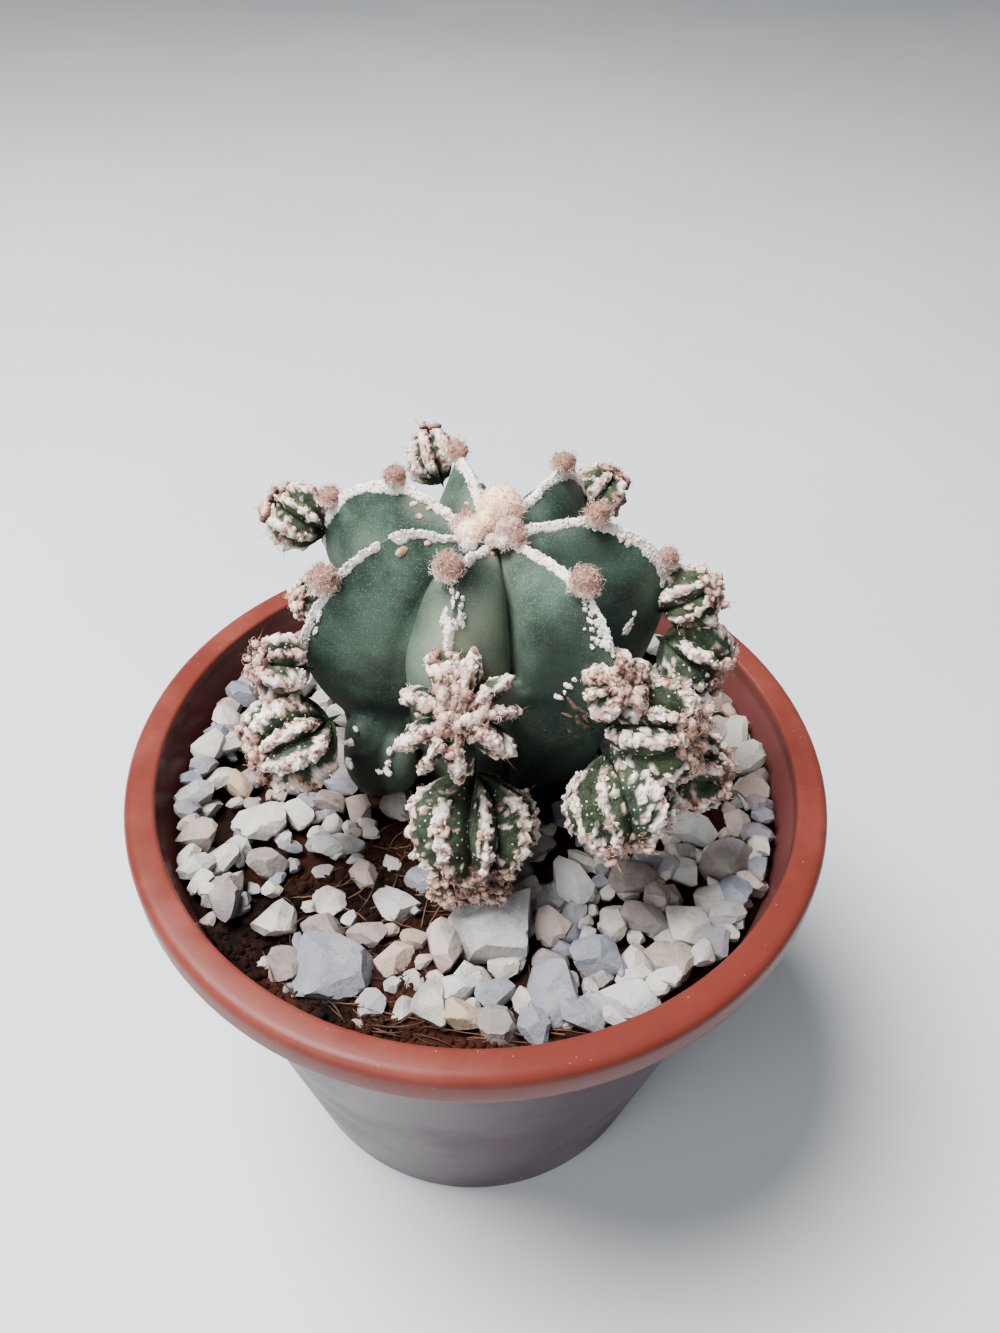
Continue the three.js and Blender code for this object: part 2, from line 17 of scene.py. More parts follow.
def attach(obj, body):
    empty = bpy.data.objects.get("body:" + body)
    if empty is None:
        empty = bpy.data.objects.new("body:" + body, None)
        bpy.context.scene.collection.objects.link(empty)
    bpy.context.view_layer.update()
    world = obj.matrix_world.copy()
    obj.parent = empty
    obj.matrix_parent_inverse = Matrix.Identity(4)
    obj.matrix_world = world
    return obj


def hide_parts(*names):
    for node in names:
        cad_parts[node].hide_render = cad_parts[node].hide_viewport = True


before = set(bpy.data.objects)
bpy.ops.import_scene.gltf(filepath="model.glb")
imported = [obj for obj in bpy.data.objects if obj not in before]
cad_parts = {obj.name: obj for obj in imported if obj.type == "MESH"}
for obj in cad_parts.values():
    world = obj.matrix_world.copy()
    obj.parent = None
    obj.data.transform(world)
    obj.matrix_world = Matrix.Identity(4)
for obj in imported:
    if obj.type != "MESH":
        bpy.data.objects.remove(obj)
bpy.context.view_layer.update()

MM = 0.001
scene = bpy.context.scene

# %% [markdown]
# ## The photograph's camera
# The camera comes first, so that every later piece can be judged through it. It stands 43 degrees above
# the pot's rim and 127 mm from its aim, a close view that makes the near rim large. The lens follows from
# the angle of view, and the small roll levels the rim as the photographer held it.

# %% Camera
CAMERA_PLACE = Vector((2.5, -92.88, 168.61)) * MM
CAMERA_AIM = Vector((2.5, 0, 82.0)) * MM
CAMERA_ROLL = math.radians(1.74)


def linked(name, data):
    """A new object in the scene."""
    obj = bpy.data.objects.new(name, data)
    scene.collection.objects.link(obj)
    return obj


LENS, SENSOR_WIDTH, NEAREST = 28.36, 36, 0.005
camera_data = bpy.data.cameras.new("camera")
camera_data.lens, camera_data.sensor_width, camera_data.clip_start = LENS, SENSOR_WIDTH, NEAREST
camera = linked("camera", camera_data)
turn = (CAMERA_AIM - CAMERA_PLACE).to_track_quat("-Z", "Y").to_matrix().to_4x4()
camera.matrix_world = Matrix.Translation(CAMERA_PLACE) @ turn @ Matrix.Rotation(CAMERA_ROLL, 4, "Z")
scene.camera = camera
print("camera at", tuple(round(c, 4) for c in CAMERA_PLACE), "metres")

# %% [markdown]
# ## Small tools for meshes
# Most of a plant is a rule: a point on the skin is worked out from how far round and how far down it is.
# NumPy works out thousands of points at once, and these helpers turn rows of points into a mesh. Sizes are
# in millimetres until the last moment, because that is how a plant is measured.

# %% Meshes from arrays
def keep_numbers(mesh, key, numbers):
    """Keeps a number at each point of a mesh, under a name that its material can read."""
    layer = mesh.attributes.get(key) or mesh.attributes.new(key, "FLOAT", "POINT")
    layer.data.foreach_set("value", np.asarray(numbers, np.float32))


def numbers_of(mesh, key):
    """The number that a mesh keeps at each point under a name."""
    flat = np.empty(len(mesh.vertices), np.float32)
    mesh.attributes[key].data.foreach_get("value", flat)
    return flat


def points_of(mesh):
    """The points of a mesh, in millimetres."""
    flat = np.empty(len(mesh.vertices) * 3, np.float32)
    mesh.vertices.foreach_get("co", flat)
    return flat.reshape(-1, 3).astype(float) / MM


def mesh_from(name, points, faces, values=None):
    """A mesh from points in millimetres and faces of equal size, with the numbers that it keeps."""
    points, faces = np.asarray(points, float), np.asarray(faces, np.int32)
    mesh = bpy.data.meshes.new(name)
    mesh.vertices.add(len(points))
    mesh.vertices.foreach_set("co", (points * MM).ravel())
    mesh.loops.add(faces.size)
    mesh.loops.foreach_set("vertex_index", faces.ravel())
    mesh.polygons.add(len(faces))
    mesh.polygons.foreach_set("loop_start", np.arange(0, faces.size, faces.shape[1], dtype=np.int32))
    mesh.update(calc_edges=True)
    mesh.validate()
    for key, numbers in (values or {}).items():
        keep_numbers(mesh, key, numbers)
    mesh.shade_smooth()
    return mesh


print("a mesh keeps its points in metres, so 45 mm is", 45 * MM)

# %% [markdown]
# Most round things are rows of points round an axis, closed by a pole at each end. Written once, the same
# few lines close a pot, a stem, a hair and a young head. The ball is Blender's icosphere, whose even
# triangles don't crowd at two poles.

# %% Rings, poles and balls
def around_axis(radius, angle, z):
    """Points at a radius, an angle and a height round an axis. Each may be an array."""
    radius, angle, z = np.broadcast_arrays(radius, angle, z)
    return np.stack([radius * np.cos(angle), radius * np.sin(angle), z], -1)


def whole_turn(sides):
    return np.linspace(0, 2 * np.pi, sides, endpoint=False)


def with_poles(first, rows, last):
    """Rows of points, or of numbers, as one list with a pole before them and one after."""
    return np.concatenate([[first], rows.reshape(-1, *np.shape(first)), [last]])


def ring_faces(rings, sides):
    """Triangles over rows of points, with one pole before the first row and one after the last."""
    j = np.arange(sides)
    k = (j + 1) % sides
    start = 1 + np.arange(rings - 1)[:, None] * sides
    a, b = (start + j).ravel(), (start + k).ravel()
    low = 1 + (rings - 1) * sides
    top = np.stack([np.zeros(sides, int), 1 + j, 1 + k], 1)
    side = np.concatenate([np.stack([a, a + sides, b], 1), np.stack([b, a + sides, b + sides], 1)])
    foot = np.stack([np.full(sides, low + sides), low + k, low + j], 1)
    return np.concatenate([top, side, foot])


def ball(subdivisions):
    """The points and triangles of a ball of radius 1 made of even triangles."""
    shape = bmesh.new()
    bmesh.ops.create_icosphere(shape, subdivisions=subdivisions, radius=1)
    points = np.array([v.co[:] for v in shape.verts])
    faces = np.array([[v.index for v in f.verts] for f in shape.faces])
    shape.free()
    return unit(points), faces


def unit(vectors):
    """Directions of length 1."""
    return vectors / np.linalg.norm(vectors, axis=-1, keepdims=True)


print("a fine ball has", len(ball(4)[1]), "triangles")

# %% [markdown]
# Nature is uneven, but a script has to give the same plant each time. One helper draws a repeatable stream
# of numbers, the same stream that placed the solids. Another gives smooth noise in space, which bends
# skins and felt the way that slow growth does.

# %% Repeatable chance
class Draws:
    """A repeatable stream of numbers between 0 and 1."""

    def __init__(self, seed):
        self.state = seed

    def one(self):
        self.state = (self.state * 48271) % 2147483647
        return self.state / 2147483647

    def signed(self):
        return 2 * self.one() - 1


def noise(points, size, seed=0):
    """Smooth values from -1 to 1 in space, with lumps of about the given size."""
    q = np.asarray(points, float) / size + seed * 17.31
    cell = np.floor(q).astype(np.int64)
    f = q - cell
    f = f * f * (3 - 2 * f)
    total = np.zeros(q.shape[:-1])
    for step in itertools.product((0, 1), repeat=3):
        n = cell + np.array(step)
        key = (n[..., 0] * 73856093) ^ (n[..., 1] * 19349663) ^ (n[..., 2] * 83492791)
        key = ((key ^ (key >> 13)) * 1274126177) & 0x7FFFFFFF
        value = ((key ^ (key >> 16)) & 0xFFFF) / 32767.5 - 1
        total += value * np.prod(np.where(np.array(step) == 1, f, 1 - f), axis=-1)
    return total


def smooth(low, high, x):
    """0 below low, 1 above high, and a soft step between them."""
    t = np.clip((np.asarray(x, float) - low) / (high - low), 0, 1)
    return t * t * (3 - 2 * t)


print("noise at the origin:", round(float(noise(np.zeros((1, 3)), 1)[0]), 3))

# %% [markdown]
# ## Node trees in a few lines
# A node tree is a small machine of nodes and wires, for a material as for a shape. Naming a node's inputs
# as it is placed, with a value or with the output to wire in, keeps each tree readable.

# %% Node helpers
def feed(tree, socket, value):
    """Gives an input a value, or wires another node's output to it."""
    if isinstance(value, bpy.types.NodeSocket):
        tree.links.new(value, socket)
    else:
        socket.default_value = value


def node(tree, kind, *first, **named):
    """A new node. Each name sets the property or feeds the input that it names, and the other values feed
    the first inputs in order."""
    made = tree.nodes.new(kind)
    for key, value in named.items():
        label = key.replace("_", " ")
        if label in made.inputs:
            feed(tree, made.inputs[label], value)
        else:
            setattr(made, key, value)
    for socket, value in zip(made.inputs, first):
        feed(tree, socket, value)
    return made


def node_group(name, kind, inputs, **outputs):
    """An empty node group with its input and output sockets. An input is given as a kind of socket, or as
    the number that it starts from."""
    tree = bpy.data.node_groups.new(name, kind)
    for label, form in outputs.items():
        tree.interface.new_socket(label, in_out="OUTPUT", socket_type=f"NodeSocket{form}")
    for label, form in inputs.items():
        socket_type = f"NodeSocket{form}" if isinstance(form, str) else "NodeSocketFloat"
        socket = tree.interface.new_socket(label, in_out="INPUT", socket_type=socket_type)
        if not isinstance(form, str):
            socket.default_value = form
    return tree, tree.nodes.new("NodeGroupInput").outputs, tree.nodes.new("NodeGroupOutput").inputs


# %% [markdown]
# Two effects turn up in almost every finish here: a mottle, which is soft uneven colour, and a speckle,
# which is fine dots. Each is built once as a group with named inputs, and every material sets its own
# values.

# %% The two shader groups
def mottle_group():
    sockets = {"Vector": "Vector", "Scale": 200, "Low": 0.4, "High": 0.6}
    tree, given, out = node_group("mottle", "ShaderNodeTree", sockets, Value="Float")
    cloud = node(
        tree, "ShaderNodeTexNoise", Vector=given["Vector"], Scale=given["Scale"], Detail=5, Roughness=0.6
    )
    spread = node(
        tree, "ShaderNodeMapRange", interpolation_type="SMOOTHSTEP", Value=cloud.outputs["Fac"],
        From_Min=given["Low"], From_Max=given["High"],
    )
    feed(tree, out["Value"], spread.outputs["Result"])
    return tree


def speckle_group():
    sockets = {"Vector": "Vector", "Scale": 2000, "Dot": 0.18, "Share": 0.5}
    tree, given, out = node_group("speckle", "ShaderNodeTree", sockets, Mask="Float")
    cells = node(tree, "ShaderNodeTexVoronoi", Vector=given["Vector"], Scale=given["Scale"]).outputs
    chance = node(tree, "ShaderNodeSeparateColor", cells["Color"])
    in_dot = node(tree, "ShaderNodeMath", cells["Distance"], given["Dot"], operation="LESS_THAN")
    picked = node(tree, "ShaderNodeMath", chance.outputs[0], given["Share"], operation="LESS_THAN")
    both = node(tree, "ShaderNodeMath", in_dot.outputs[0], picked.outputs[0], operation="MULTIPLY")
    feed(tree, out["Mask"], both.outputs[0])
    return tree


MOTTLE, SPECKLE = mottle_group(), speckle_group()
print("shader groups:", MOTTLE.name, "and", SPECKLE.name)

# %% [markdown]
# Colours are given by their values on a screen, and turned into the linear values that the renderer works
# with. A `Finish` starts a material with its shader and its coordinates, and its methods add one effect
# each: a mask, a mix of two colours, a ramp, or a bump.

# %% The finish builder
def linear(red, green, blue):
    """A colour given as screen values from 0 to 255, as the renderer's linear numbers."""
    def one(c):
        c /= 255
        return c / 12.92 if c <= 0.04045 else ((c + 0.055) / 1.055) ** 2.4
    return (one(red), one(green), one(blue), 1.0)


class Finish:
    """A material whose effects are added one at a time. Colours are screen values from 0 to 255."""

    def __init__(self, name, roughness=0.8, **sockets):
        self.material = bpy.data.materials.new(name)
        self.material.use_nodes = True
        self.tree = self.material.node_tree
        self.shader = self.tree.nodes["Principled BSDF"]
        for key, value in {"Roughness": roughness, **sockets}.items():
            self.shader.inputs[key.replace("_", " ")].default_value = value
        self.place = self.node("ShaderNodeTexCoord")["Object"]

    def node(self, kind, *first, **named):
        """A new node's outputs."""
        return node(self.tree, kind, *first, **named).outputs

    def mask(self, which, **values):
        """A grey mask from one of the shared groups."""
        return self.node("ShaderNodeGroup", node_tree=which, Vector=self.place, **values)[0]

    def kept(self, key):
        """The number that the mesh keeps at each point."""
        return self.node("ShaderNodeAttribute", attribute_name=key)["Fac"]

    def math(self, operation, first, second):
        return self.node("ShaderNodeMath", first, second, operation=operation)[0]

    def mix(self, mask, first, second):
        """The first colour where the mask is 0, and the second where it is 1."""
        made = node(self.tree, "ShaderNodeMix", mask, data_type="RGBA")
        for socket, colour in ((made.inputs[6], first), (made.inputs[7], second)):
            feed(self.tree, socket, linear(*colour) if isinstance(colour, tuple) else colour)
        return made.outputs[2]

    def over(self, base, mask, share, colour):
        """A colour laid over another where the mask is, at most by the share."""
        return self.mix(self.math("MULTIPLY", mask, share), base, colour)

    def ramp(self, value, stops):
        """A colour read off a scale of (place, colour) stops."""
        made = node(self.tree, "ShaderNodeValToRGB", value)
        scale = made.color_ramp.elements
        while len(scale) < len(stops):
            scale.new(0.5)
        for stop, (place, colour) in zip(scale, stops):
            stop.position, stop.color = place, linear(*colour)
        return made.outputs[0]

    def noise(self, scale, detail, rough=0.6):
        return self.node(
            "ShaderNodeTexNoise", Vector=self.place, Scale=scale, Detail=detail, Roughness=rough
        )["Fac"]

    def colour(self, value):
        feed(self.tree, self.shader.inputs["Base Color"], value)

    def rough(self, mask, low, high):
        """A roughness that goes from low to high with a mask."""
        spread = self.node("ShaderNodeMapRange", mask, To_Min=low, To_Max=high)
        feed(self.tree, self.shader.inputs["Roughness"], spread["Result"])

    def bump(self, scale, detail, height, strength, rough=0.6):
        """Bumps of noise with a height in millimetres, on top of the bumps added before them."""
        made = node(
            self.tree, "ShaderNodeBump", Height=self.noise(scale, detail, rough), Distance=height * MM,
            Strength=strength,
        )
        normal = self.shader.inputs["Normal"]
        if normal.links:
            feed(self.tree, made.inputs["Normal"], normal.links[0].from_socket)
        feed(self.tree, normal, made.outputs["Normal"])


print("colours are linear: mid grey is", round(linear(128, 128, 128)[0], 3))

# %% [markdown]
# ## Scattering with Geometry Nodes
# Crumbs, felt, wool and spines are all one idea: a small thing repeated over a surface. One node tree does
# it: points are thrown on the faces where the mesh says so, a small thing is put on each point, leaned and
# turned at random, and the copies are made real. The result is kept as a plain mesh.

# %% The scatter tree
def finish_tree(tree, given, out, shapes):
    """The ending of every tree: the copies are made real and get their material."""
    real = node(tree, "GeometryNodeRealizeInstances", shapes)
    paint = node(tree, "GeometryNodeSetMaterial", Geometry=real.outputs[0], Material=given["Material"])
    feed(tree, out["Geometry"], paint.outputs[0])


def scatter_tree():
    tree, given, out = node_group("scatter", "GeometryNodeTree", {
        "Geometry": "Geometry", "Things": "Collection", "Per Square Metre": "Float", "Smallest": "Float",
        "Largest": "Float", "Lean": "Float", "Seed": "Int", "Material": "Material",
    }, Geometry="Geometry")
    cover = node(tree, "GeometryNodeInputNamedAttribute", data_type="FLOAT", Name="cover").outputs
    density = node(
        tree, "ShaderNodeMath", given["Per Square Metre"], cover["Attribute"], operation="MULTIPLY"
    ).outputs[0]
    thrown = node(
        tree, "GeometryNodeDistributePointsOnFaces", distribute_method="RANDOM", Mesh=given["Geometry"],
        Density=density, Seed=given["Seed"],
    ).outputs
    most = node(tree, "ShaderNodeCombineXYZ", given["Lean"], given["Lean"], math.pi).outputs[0]
    least = node(tree, "ShaderNodeVectorMath", most, operation="SCALE", Scale=-1).outputs[0]
    angles = node(
        tree, "FunctionNodeRandomValue", least, most, data_type="FLOAT_VECTOR", Seed=given["Seed"]
    ).outputs[0]
    turned = node(
        tree, "FunctionNodeRotateRotation", rotation_space="LOCAL", Rotation=thrown["Rotation"],
        Rotate_By=node(tree, "FunctionNodeEulerToRotation", angles).outputs[0],
    ).outputs[0]
    size = node(tree, "FunctionNodeRandomValue", data_type="FLOAT", Seed=given["Seed"])
    feed(tree, size.inputs[2], given["Smallest"])
    feed(tree, size.inputs[3], given["Largest"])
    kinds = node(tree, "GeometryNodeCollectionInfo", Collection=given["Things"], Separate_Children=True)
    copies = node(
        tree, "GeometryNodeInstanceOnPoints", Points=thrown["Points"], Instance=kinds.outputs[0],
        Pick_Instance=True, Rotation=turned, Scale=size.outputs[1],
    ).outputs[0]
    toned = node(
        tree, "GeometryNodeStoreNamedAttribute", data_type="FLOAT", domain="INSTANCE", Geometry=copies,
        Name="tone", Value=node(tree, "FunctionNodeRandomValue", data_type="FLOAT").outputs[1],
    ).outputs[0]
    finish_tree(tree, given, out, toned)
    return tree


SCATTER = scatter_tree()
print("scatter tree has", len(SCATTER.nodes), "nodes")

# %% [markdown]
# A tree does nothing until a modifier runs it on an object. The object is evaluated, and the result is
# copied out as a plain mesh, so that no modifier is left on the finished piece. The tree's inputs are set
# by their identifiers, which stay the same when a name is changed.

# %% Running a tree
def baked(obj):
    """The object's mesh with its modifiers worked in. The object itself goes away."""
    bpy.context.view_layer.update()
    graph = bpy.context.evaluated_depsgraph_get()
    mesh = bpy.data.meshes.new_from_object(obj.evaluated_get(graph), depsgraph=graph)
    bpy.data.objects.remove(obj)
    mesh.shade_smooth()
    return mesh


def run_tree(tree, data, settings):
    """The plain mesh that a tree makes of a mesh or a curve."""
    obj = linked(tree.name, data)
    modifier = obj.modifiers.new(tree.name, "NODES")
    modifier.node_group = tree
    for item in tree.interface.items_tree:
        if item.in_out == "INPUT" and item.name in settings:
            modifier[item.identifier] = settings[item.name]
    return baked(obj)


def scatter(host, what, per_mm2, size, lean, seed, material):
    """A plain mesh of small things thrown over a host mesh. Sizes are shares of the thing's own size."""
    return run_tree(SCATTER, host, {
        "Things": what, "Per Square Metre": per_mm2 * 1e6, "Smallest": size[0], "Largest": size[1],
        "Lean": math.radians(lean), "Seed": seed, "Material": material,
    })


def things(name, meshes):
    """A set of small things to scatter. It stays out of the scene."""
    kept = bpy.data.collections.new(name)
    for i, mesh in enumerate(meshes):
        kept.objects.link(bpy.data.objects.new(f"{name}_{i}", mesh))
    return kept


# %% [markdown]
# Two solids become one, or one is cut by another, with a Boolean modifier. The manifold solver is chosen
# because it is quick and keeps a closed mesh closed.

# %% Adding and cutting solids
def combined(mesh, tools, operation):
    """A closed mesh with other closed meshes joined to it or cut out of it."""
    obj = linked("blank", mesh)
    parts = [linked("tool", tool) for tool in tools]
    for part in parts:
        change = obj.modifiers.new("combine", "BOOLEAN")
        change.operation, change.object, change.solver = operation, part, "MANIFOLD"
    made = baked(obj)
    for part in parts:
        bpy.data.objects.remove(part)
    return made


# %% [markdown]
# ## Finished pieces
# Each piece stands for one or more solids of the model. Its parts, such as skin, felt and wool, are joined
# into one mesh, so that the list of pieces stays as short as the plant is simple.

# %% Pieces that ride and replace
def painted(mesh, material):
    mesh.materials.clear()
    mesh.materials.append(material)
    return mesh


def piece(name, meshes, stands_for):
    """Joins meshes into one finished piece that rides with the pot."""
    objects = [linked(name if i == 0 else f"{name}_{i}", mesh) for i, mesh in enumerate(meshes)]
    made = objects[0]
    if len(objects) > 1:
        with bpy.context.temp_override(
            active_object=made, object=made, selected_objects=objects, selected_editable_objects=objects,
        ):
            bpy.ops.object.join()
    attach(made, "root")
    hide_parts(stands_for)
    print(f"{name}: {sum(len(p.vertices) - 2 for p in made.data.polygons)} triangles")


# %% [markdown]
# ## The pot
# A nursery pot is moulded in one go from brown plastic, with a thin wall and a rolled rim that hangs over
# like a cuff. The plastic is satin, with a chalky film, darker worn streaks and a few specks of dust. The
# body under the rim is painted darker and more purple than the rim: painted shade and a painted bluish
# reflection.

# %% Pot plastic
def pot_plastic():
    finish = Finish("pot_plastic", roughness=0.4, Specular_IOR_Level=0.12)
    film = finish.mask(MOTTLE, Scale=55, Low=0.42, High=0.72)
    streak = finish.mask(MOTTLE, Scale=260, Low=0.5, High=0.7)
    dust = finish.mask(SPECKLE, Scale=1400, Dot=0.12, Share=0.1)
    rim = finish.mix(film, (88, 37, 30), (103, 49, 41))
    # The body below the cuff is painted darker and more purple, as painted shade and a painted bluish
    # reflection
    body = finish.mix(film, (49, 28, 41), (59, 38, 52))
    outside = finish.mix(finish.kept("low"), rim, body)
    plastic = finish.mix(finish.kept("inside"), outside, (90, 50, 48))
    worn = finish.over(plastic, streak, 0.22, (74, 32, 30))
    finish.colour(finish.over(worn, dust, 0.35, (180, 134, 116)))
    finish.rough(film, 0.3, 0.44)
    finish.bump(900, 3, 0.05, 0.25)
    finish.bump(90, 2, 0.25, 0.2)
    return finish.material


POT_PLASTIC = pot_plastic()

# %% [markdown]
# The shape could be stacked from rings, but one outline turned round the axis describes all of it: from
# the foot up the outside, over the rim and down the inside. Its corners have roundings of their own,
# because a moulded edge is never sharp.

# %% The turned outline
POT_HEIGHT, RIM_RADIUS, RIM_WIDTH, RIM_DROP = 67.0, 45.0, 3.9, 4.4
WALL_TOP, FOOT_RADIUS, POT_WALL, SKIRT_WALL = 41.2, 29.8, 1.1, 1.3
FOOT_RING, FLOOR_LIFT, FLOOR_TOP = 3.2, 2.0, 3.3
INNER_RADIUS = RIM_RADIUS - RIM_WIDTH
POT_SIDES, RIM_SAG = 120, 0.12


def wall_radius(z):
    """The outside radius of the tapered wall at a height."""
    return FOOT_RADIUS + (WALL_TOP - FOOT_RADIUS) * z / (POT_HEIGHT - RIM_DROP)


def round_corner(corner, before, after, size, steps=4):
    """Points that round the corner of an outline."""
    corner, before, after = (np.array(p, float) for p in (corner, before, after))
    start = corner + unit(before - corner) * size
    end = corner + unit(after - corner) * size
    t = np.linspace(0, 1, steps + 1)[:, None]
    return (1 - t) ** 2 * start + 2 * t * (1 - t) * corner + t**2 * end


def pot_outline():
    """The outline from the middle of the foot, up the outside and down the inside."""
    under, low = POT_HEIGHT - SKIRT_WALL, POT_HEIGHT - RIM_DROP
    # Each corner is a radius and a height, with the size of its rounding
    corners = [
        ((0.5, FLOOR_LIFT), 0), ((FOOT_RADIUS - FOOT_RING, FLOOR_LIFT), 0.5),
        ((FOOT_RADIUS - FOOT_RING + 0.4, 0), 0.4), ((FOOT_RADIUS - 0.15, 0), 0.7),
        ((wall_radius(30), 30), 0), ((wall_radius(under), under), 0.3),
        ((RIM_RADIUS - SKIRT_WALL, under), 0.3), ((RIM_RADIUS - SKIRT_WALL, low), 0.35),
        ((RIM_RADIUS, low), 0.5), ((RIM_RADIUS, POT_HEIGHT), 1.4), ((INNER_RADIUS, POT_HEIGHT), 0.55),
        ((INNER_RADIUS, POT_HEIGHT - 2.2), 0.5), ((wall_radius(60) - POT_WALL, 60), 1.5),
        ((wall_radius(FLOOR_TOP) - POT_WALL, FLOOR_TOP), 1.2), ((0.5, FLOOR_TOP), 0),
    ]
    outline = []
    for i, (corner, size) in enumerate(corners):
        if size:
            outline.extend(round_corner(corner, corners[i - 1][0], corners[i + 1][0], size))
        else:
            outline.append(np.array(corner))
    return np.array(outline)


def pot_mesh():
    """The outline turned round the axis, with a rim that sags a little, as thin plastic does."""
    outline, angle = pot_outline(), whole_turn(POT_SIDES)
    rows = around_axis(outline[:, :1], angle, outline[:, 1:])
    sag = np.abs(RIM_SAG * np.sin(2 * angle + 0.7) * smooth(45, POT_HEIGHT, rows[..., 2]))
    rows[..., :2] -= sag[..., None] * np.stack([np.cos(angle), np.sin(angle)], -1)
    points = with_poles([0, 0, FLOOR_LIFT], rows, [0, 0, FLOOR_TOP])
    # The body, which gets painted shade and a painted bluish reflection, is every row of the outline before
    # the one that leaves the wall for the cuff
    cuff = np.argmax(outline[:, 0] > wall_radius(outline[:, 1]) + 0.4)
    low = with_poles(1, np.repeat(np.arange(len(outline)) < cuff, POT_SIDES), 0)
    reach, z = np.hypot(points[:, 0], points[:, 1]), points[:, 2]
    inside = smooth(INNER_RADIUS + 0.3, INNER_RADIUS - 0.1, reach) * smooth(POT_HEIGHT, POT_HEIGHT - 0.8, z)
    inside *= reach < wall_radius(z) - 0.3
    faces = ring_faces(len(outline), POT_SIDES)[:, ::-1]
    return mesh_from("pot_body", points, faces, {"low": low, "inside": inside})


# %% [markdown]
# The drain holes are cut out of the turned shape with four round plugs. Edges sharper than 40 degrees stay
# crisp afterwards, and the rest is shaded as one smooth skin.

# %% Drain holes
DRAIN_RADIUS, DRAIN_CIRCLE, DRAIN_COUNT, PLUG_HEIGHT = 3.4, 15.0, 4, 6.0
PLUG_SIDES, POT_CREASE = 40, math.radians(40)


def drain_plugs():
    shape = bmesh.new()
    for i in range(DRAIN_COUNT):
        angle = math.pi * (2 * i + 1) / DRAIN_COUNT
        place = Vector((DRAIN_CIRCLE * math.cos(angle), DRAIN_CIRCLE * math.sin(angle), FLOOR_TOP)) * MM
        bmesh.ops.create_cone(
            shape, cap_ends=True, segments=PLUG_SIDES, radius1=DRAIN_RADIUS * MM, radius2=DRAIN_RADIUS * MM,
            depth=PLUG_HEIGHT * MM, matrix=Matrix.Translation(place),
        )
    plugs = bpy.data.meshes.new("plugs")
    shape.to_mesh(plugs)
    shape.free()
    return plugs


POT = combined(pot_mesh(), [drain_plugs()], "DIFFERENCE")
POT.set_sharp_from_angle(angle=POT_CREASE)
piece("moulded_pot", [painted(POT, POT_PLASTIC)], "pot")

# %% [markdown]
# ## Limestone chips
# Crushed limestone breaks in flat faces. A chip is a ball pushed out to eighteen planes, and its mesh lines
# are eased onto the edges between them, so that few triangles give crisp facets. The planes are drawn from
# the same stream as the solids', so each fine chip lies where its solid does. Each chip keeps two numbers:
# its tone, and how dark each point of it is painted, by soil and by painted shade on its underside.

# %% One chip
PLANE_LEAN, LOOSE_PLANES, CHIP_CUTS, CHIP_TILT = 0.4, 4, 8, 0.45
CHIP_CORNER, SNAP_ROUNDS, SNAP_SHARE, CHIP_CREASE = 1.3, 3, 0.5, math.radians(25)


def faceted(way, level, reach):
    """Pushes directions out to planes, and eases those near an edge of two planes onto that edge."""
    rows = np.arange(len(way))
    for _ in range(SNAP_ROUNDS):
        value = way @ level.T
        order = np.argsort(-value, axis=1)
        first, second = order[:, 0], order[:, 1]
        gap = value[rows, first] - value[rows, second]
        slope = level[first] - level[second]
        size = np.linalg.norm(slope, axis=1)
        step = np.where(gap / size < reach, gap / size**2, 0)
        way = unit(way - step[:, None] * slope)
    return way / (way @ level.T).max(1)[:, None]


def chip(at, half, turn_angle, seed, detail):
    """The points and faces of a broken chip in millimetres, and how far down its side each point is."""
    draw, more = Draws(seed), Draws(3 * seed + 1)
    axes = ((1, 0, 0), (-1, 0, 0), (0, 1, 0), (0, -1, 0), (0, 0, 1), (0, 0, -1))
    planes = [[c + PLANE_LEAN * draw.signed() for c in axis] for axis in axes]
    planes += [[draw.signed() for _ in range(3)] for _ in range(LOOSE_PLANES)]
    far = [0.78 + 0.27 * draw.one() for _ in planes]
    wide, thick = 0.62 + 0.26 * draw.one(), 0.46 + 0.22 * draw.one()
    pitch, roll = CHIP_TILT * draw.signed(), CHIP_TILT * draw.signed()
    for _ in range(CHIP_CUTS):
        planes.append([more.signed() for _ in range(3)])
        far.append(0.7 + 0.24 * more.one())
    way, faces = ball(detail)
    spacing = math.sqrt(4 * math.pi / len(way))
    shape = faceted(way, unit(np.array(planes)) / np.array(far)[:, None], SNAP_SHARE * spacing)
    reach = np.linalg.norm(shape, axis=1, keepdims=True)
    way = shape / reach * np.minimum(reach, CHIP_CORNER)
    way = way * (1 + 0.04 * noise(way, 0.7, seed % 97) + 0.02 * noise(way, 0.24, seed % 89))[:, None]
    turned = (
        Matrix.Rotation(turn_angle, 3, "Z") @ Matrix.Rotation(pitch, 3, "Y") @ Matrix.Rotation(roll, 3, "X")
    )
    offset = way * np.array([half, half * wide, half * thick]) @ np.array(turned).T
    # The last value grows towards the chip's underside, which is darkened by soil and painted shade
    return offset + np.array(at), faces, smooth(0.1, -0.8, offset[:, 2] / (half * thick))


# %% [markdown]
# A heap is one mesh of many chips. A chip that would reach into the pot's wall is held back from it. The
# underside of every chip is painted darker, as soil and painted shade, and on the left, chips near the stem
# get a painted shadow of the plant.

# %% A heap of chips
PLANT = np.array([1.5, 4.0])
# Where the chips by the stem get a painted shadow of the plant
PLANT_SHADOW_FROM, PLANT_SHADOW_TO, PLANT_SHADOW_LEFT = 17, 23, (-8, -13)
WALL_ROOM = 0.1


def from_plant(x, y):
    """How far a place is from the plant's own axis, seen from above."""
    return np.hypot(x - PLANT[0], y - PLANT[1])


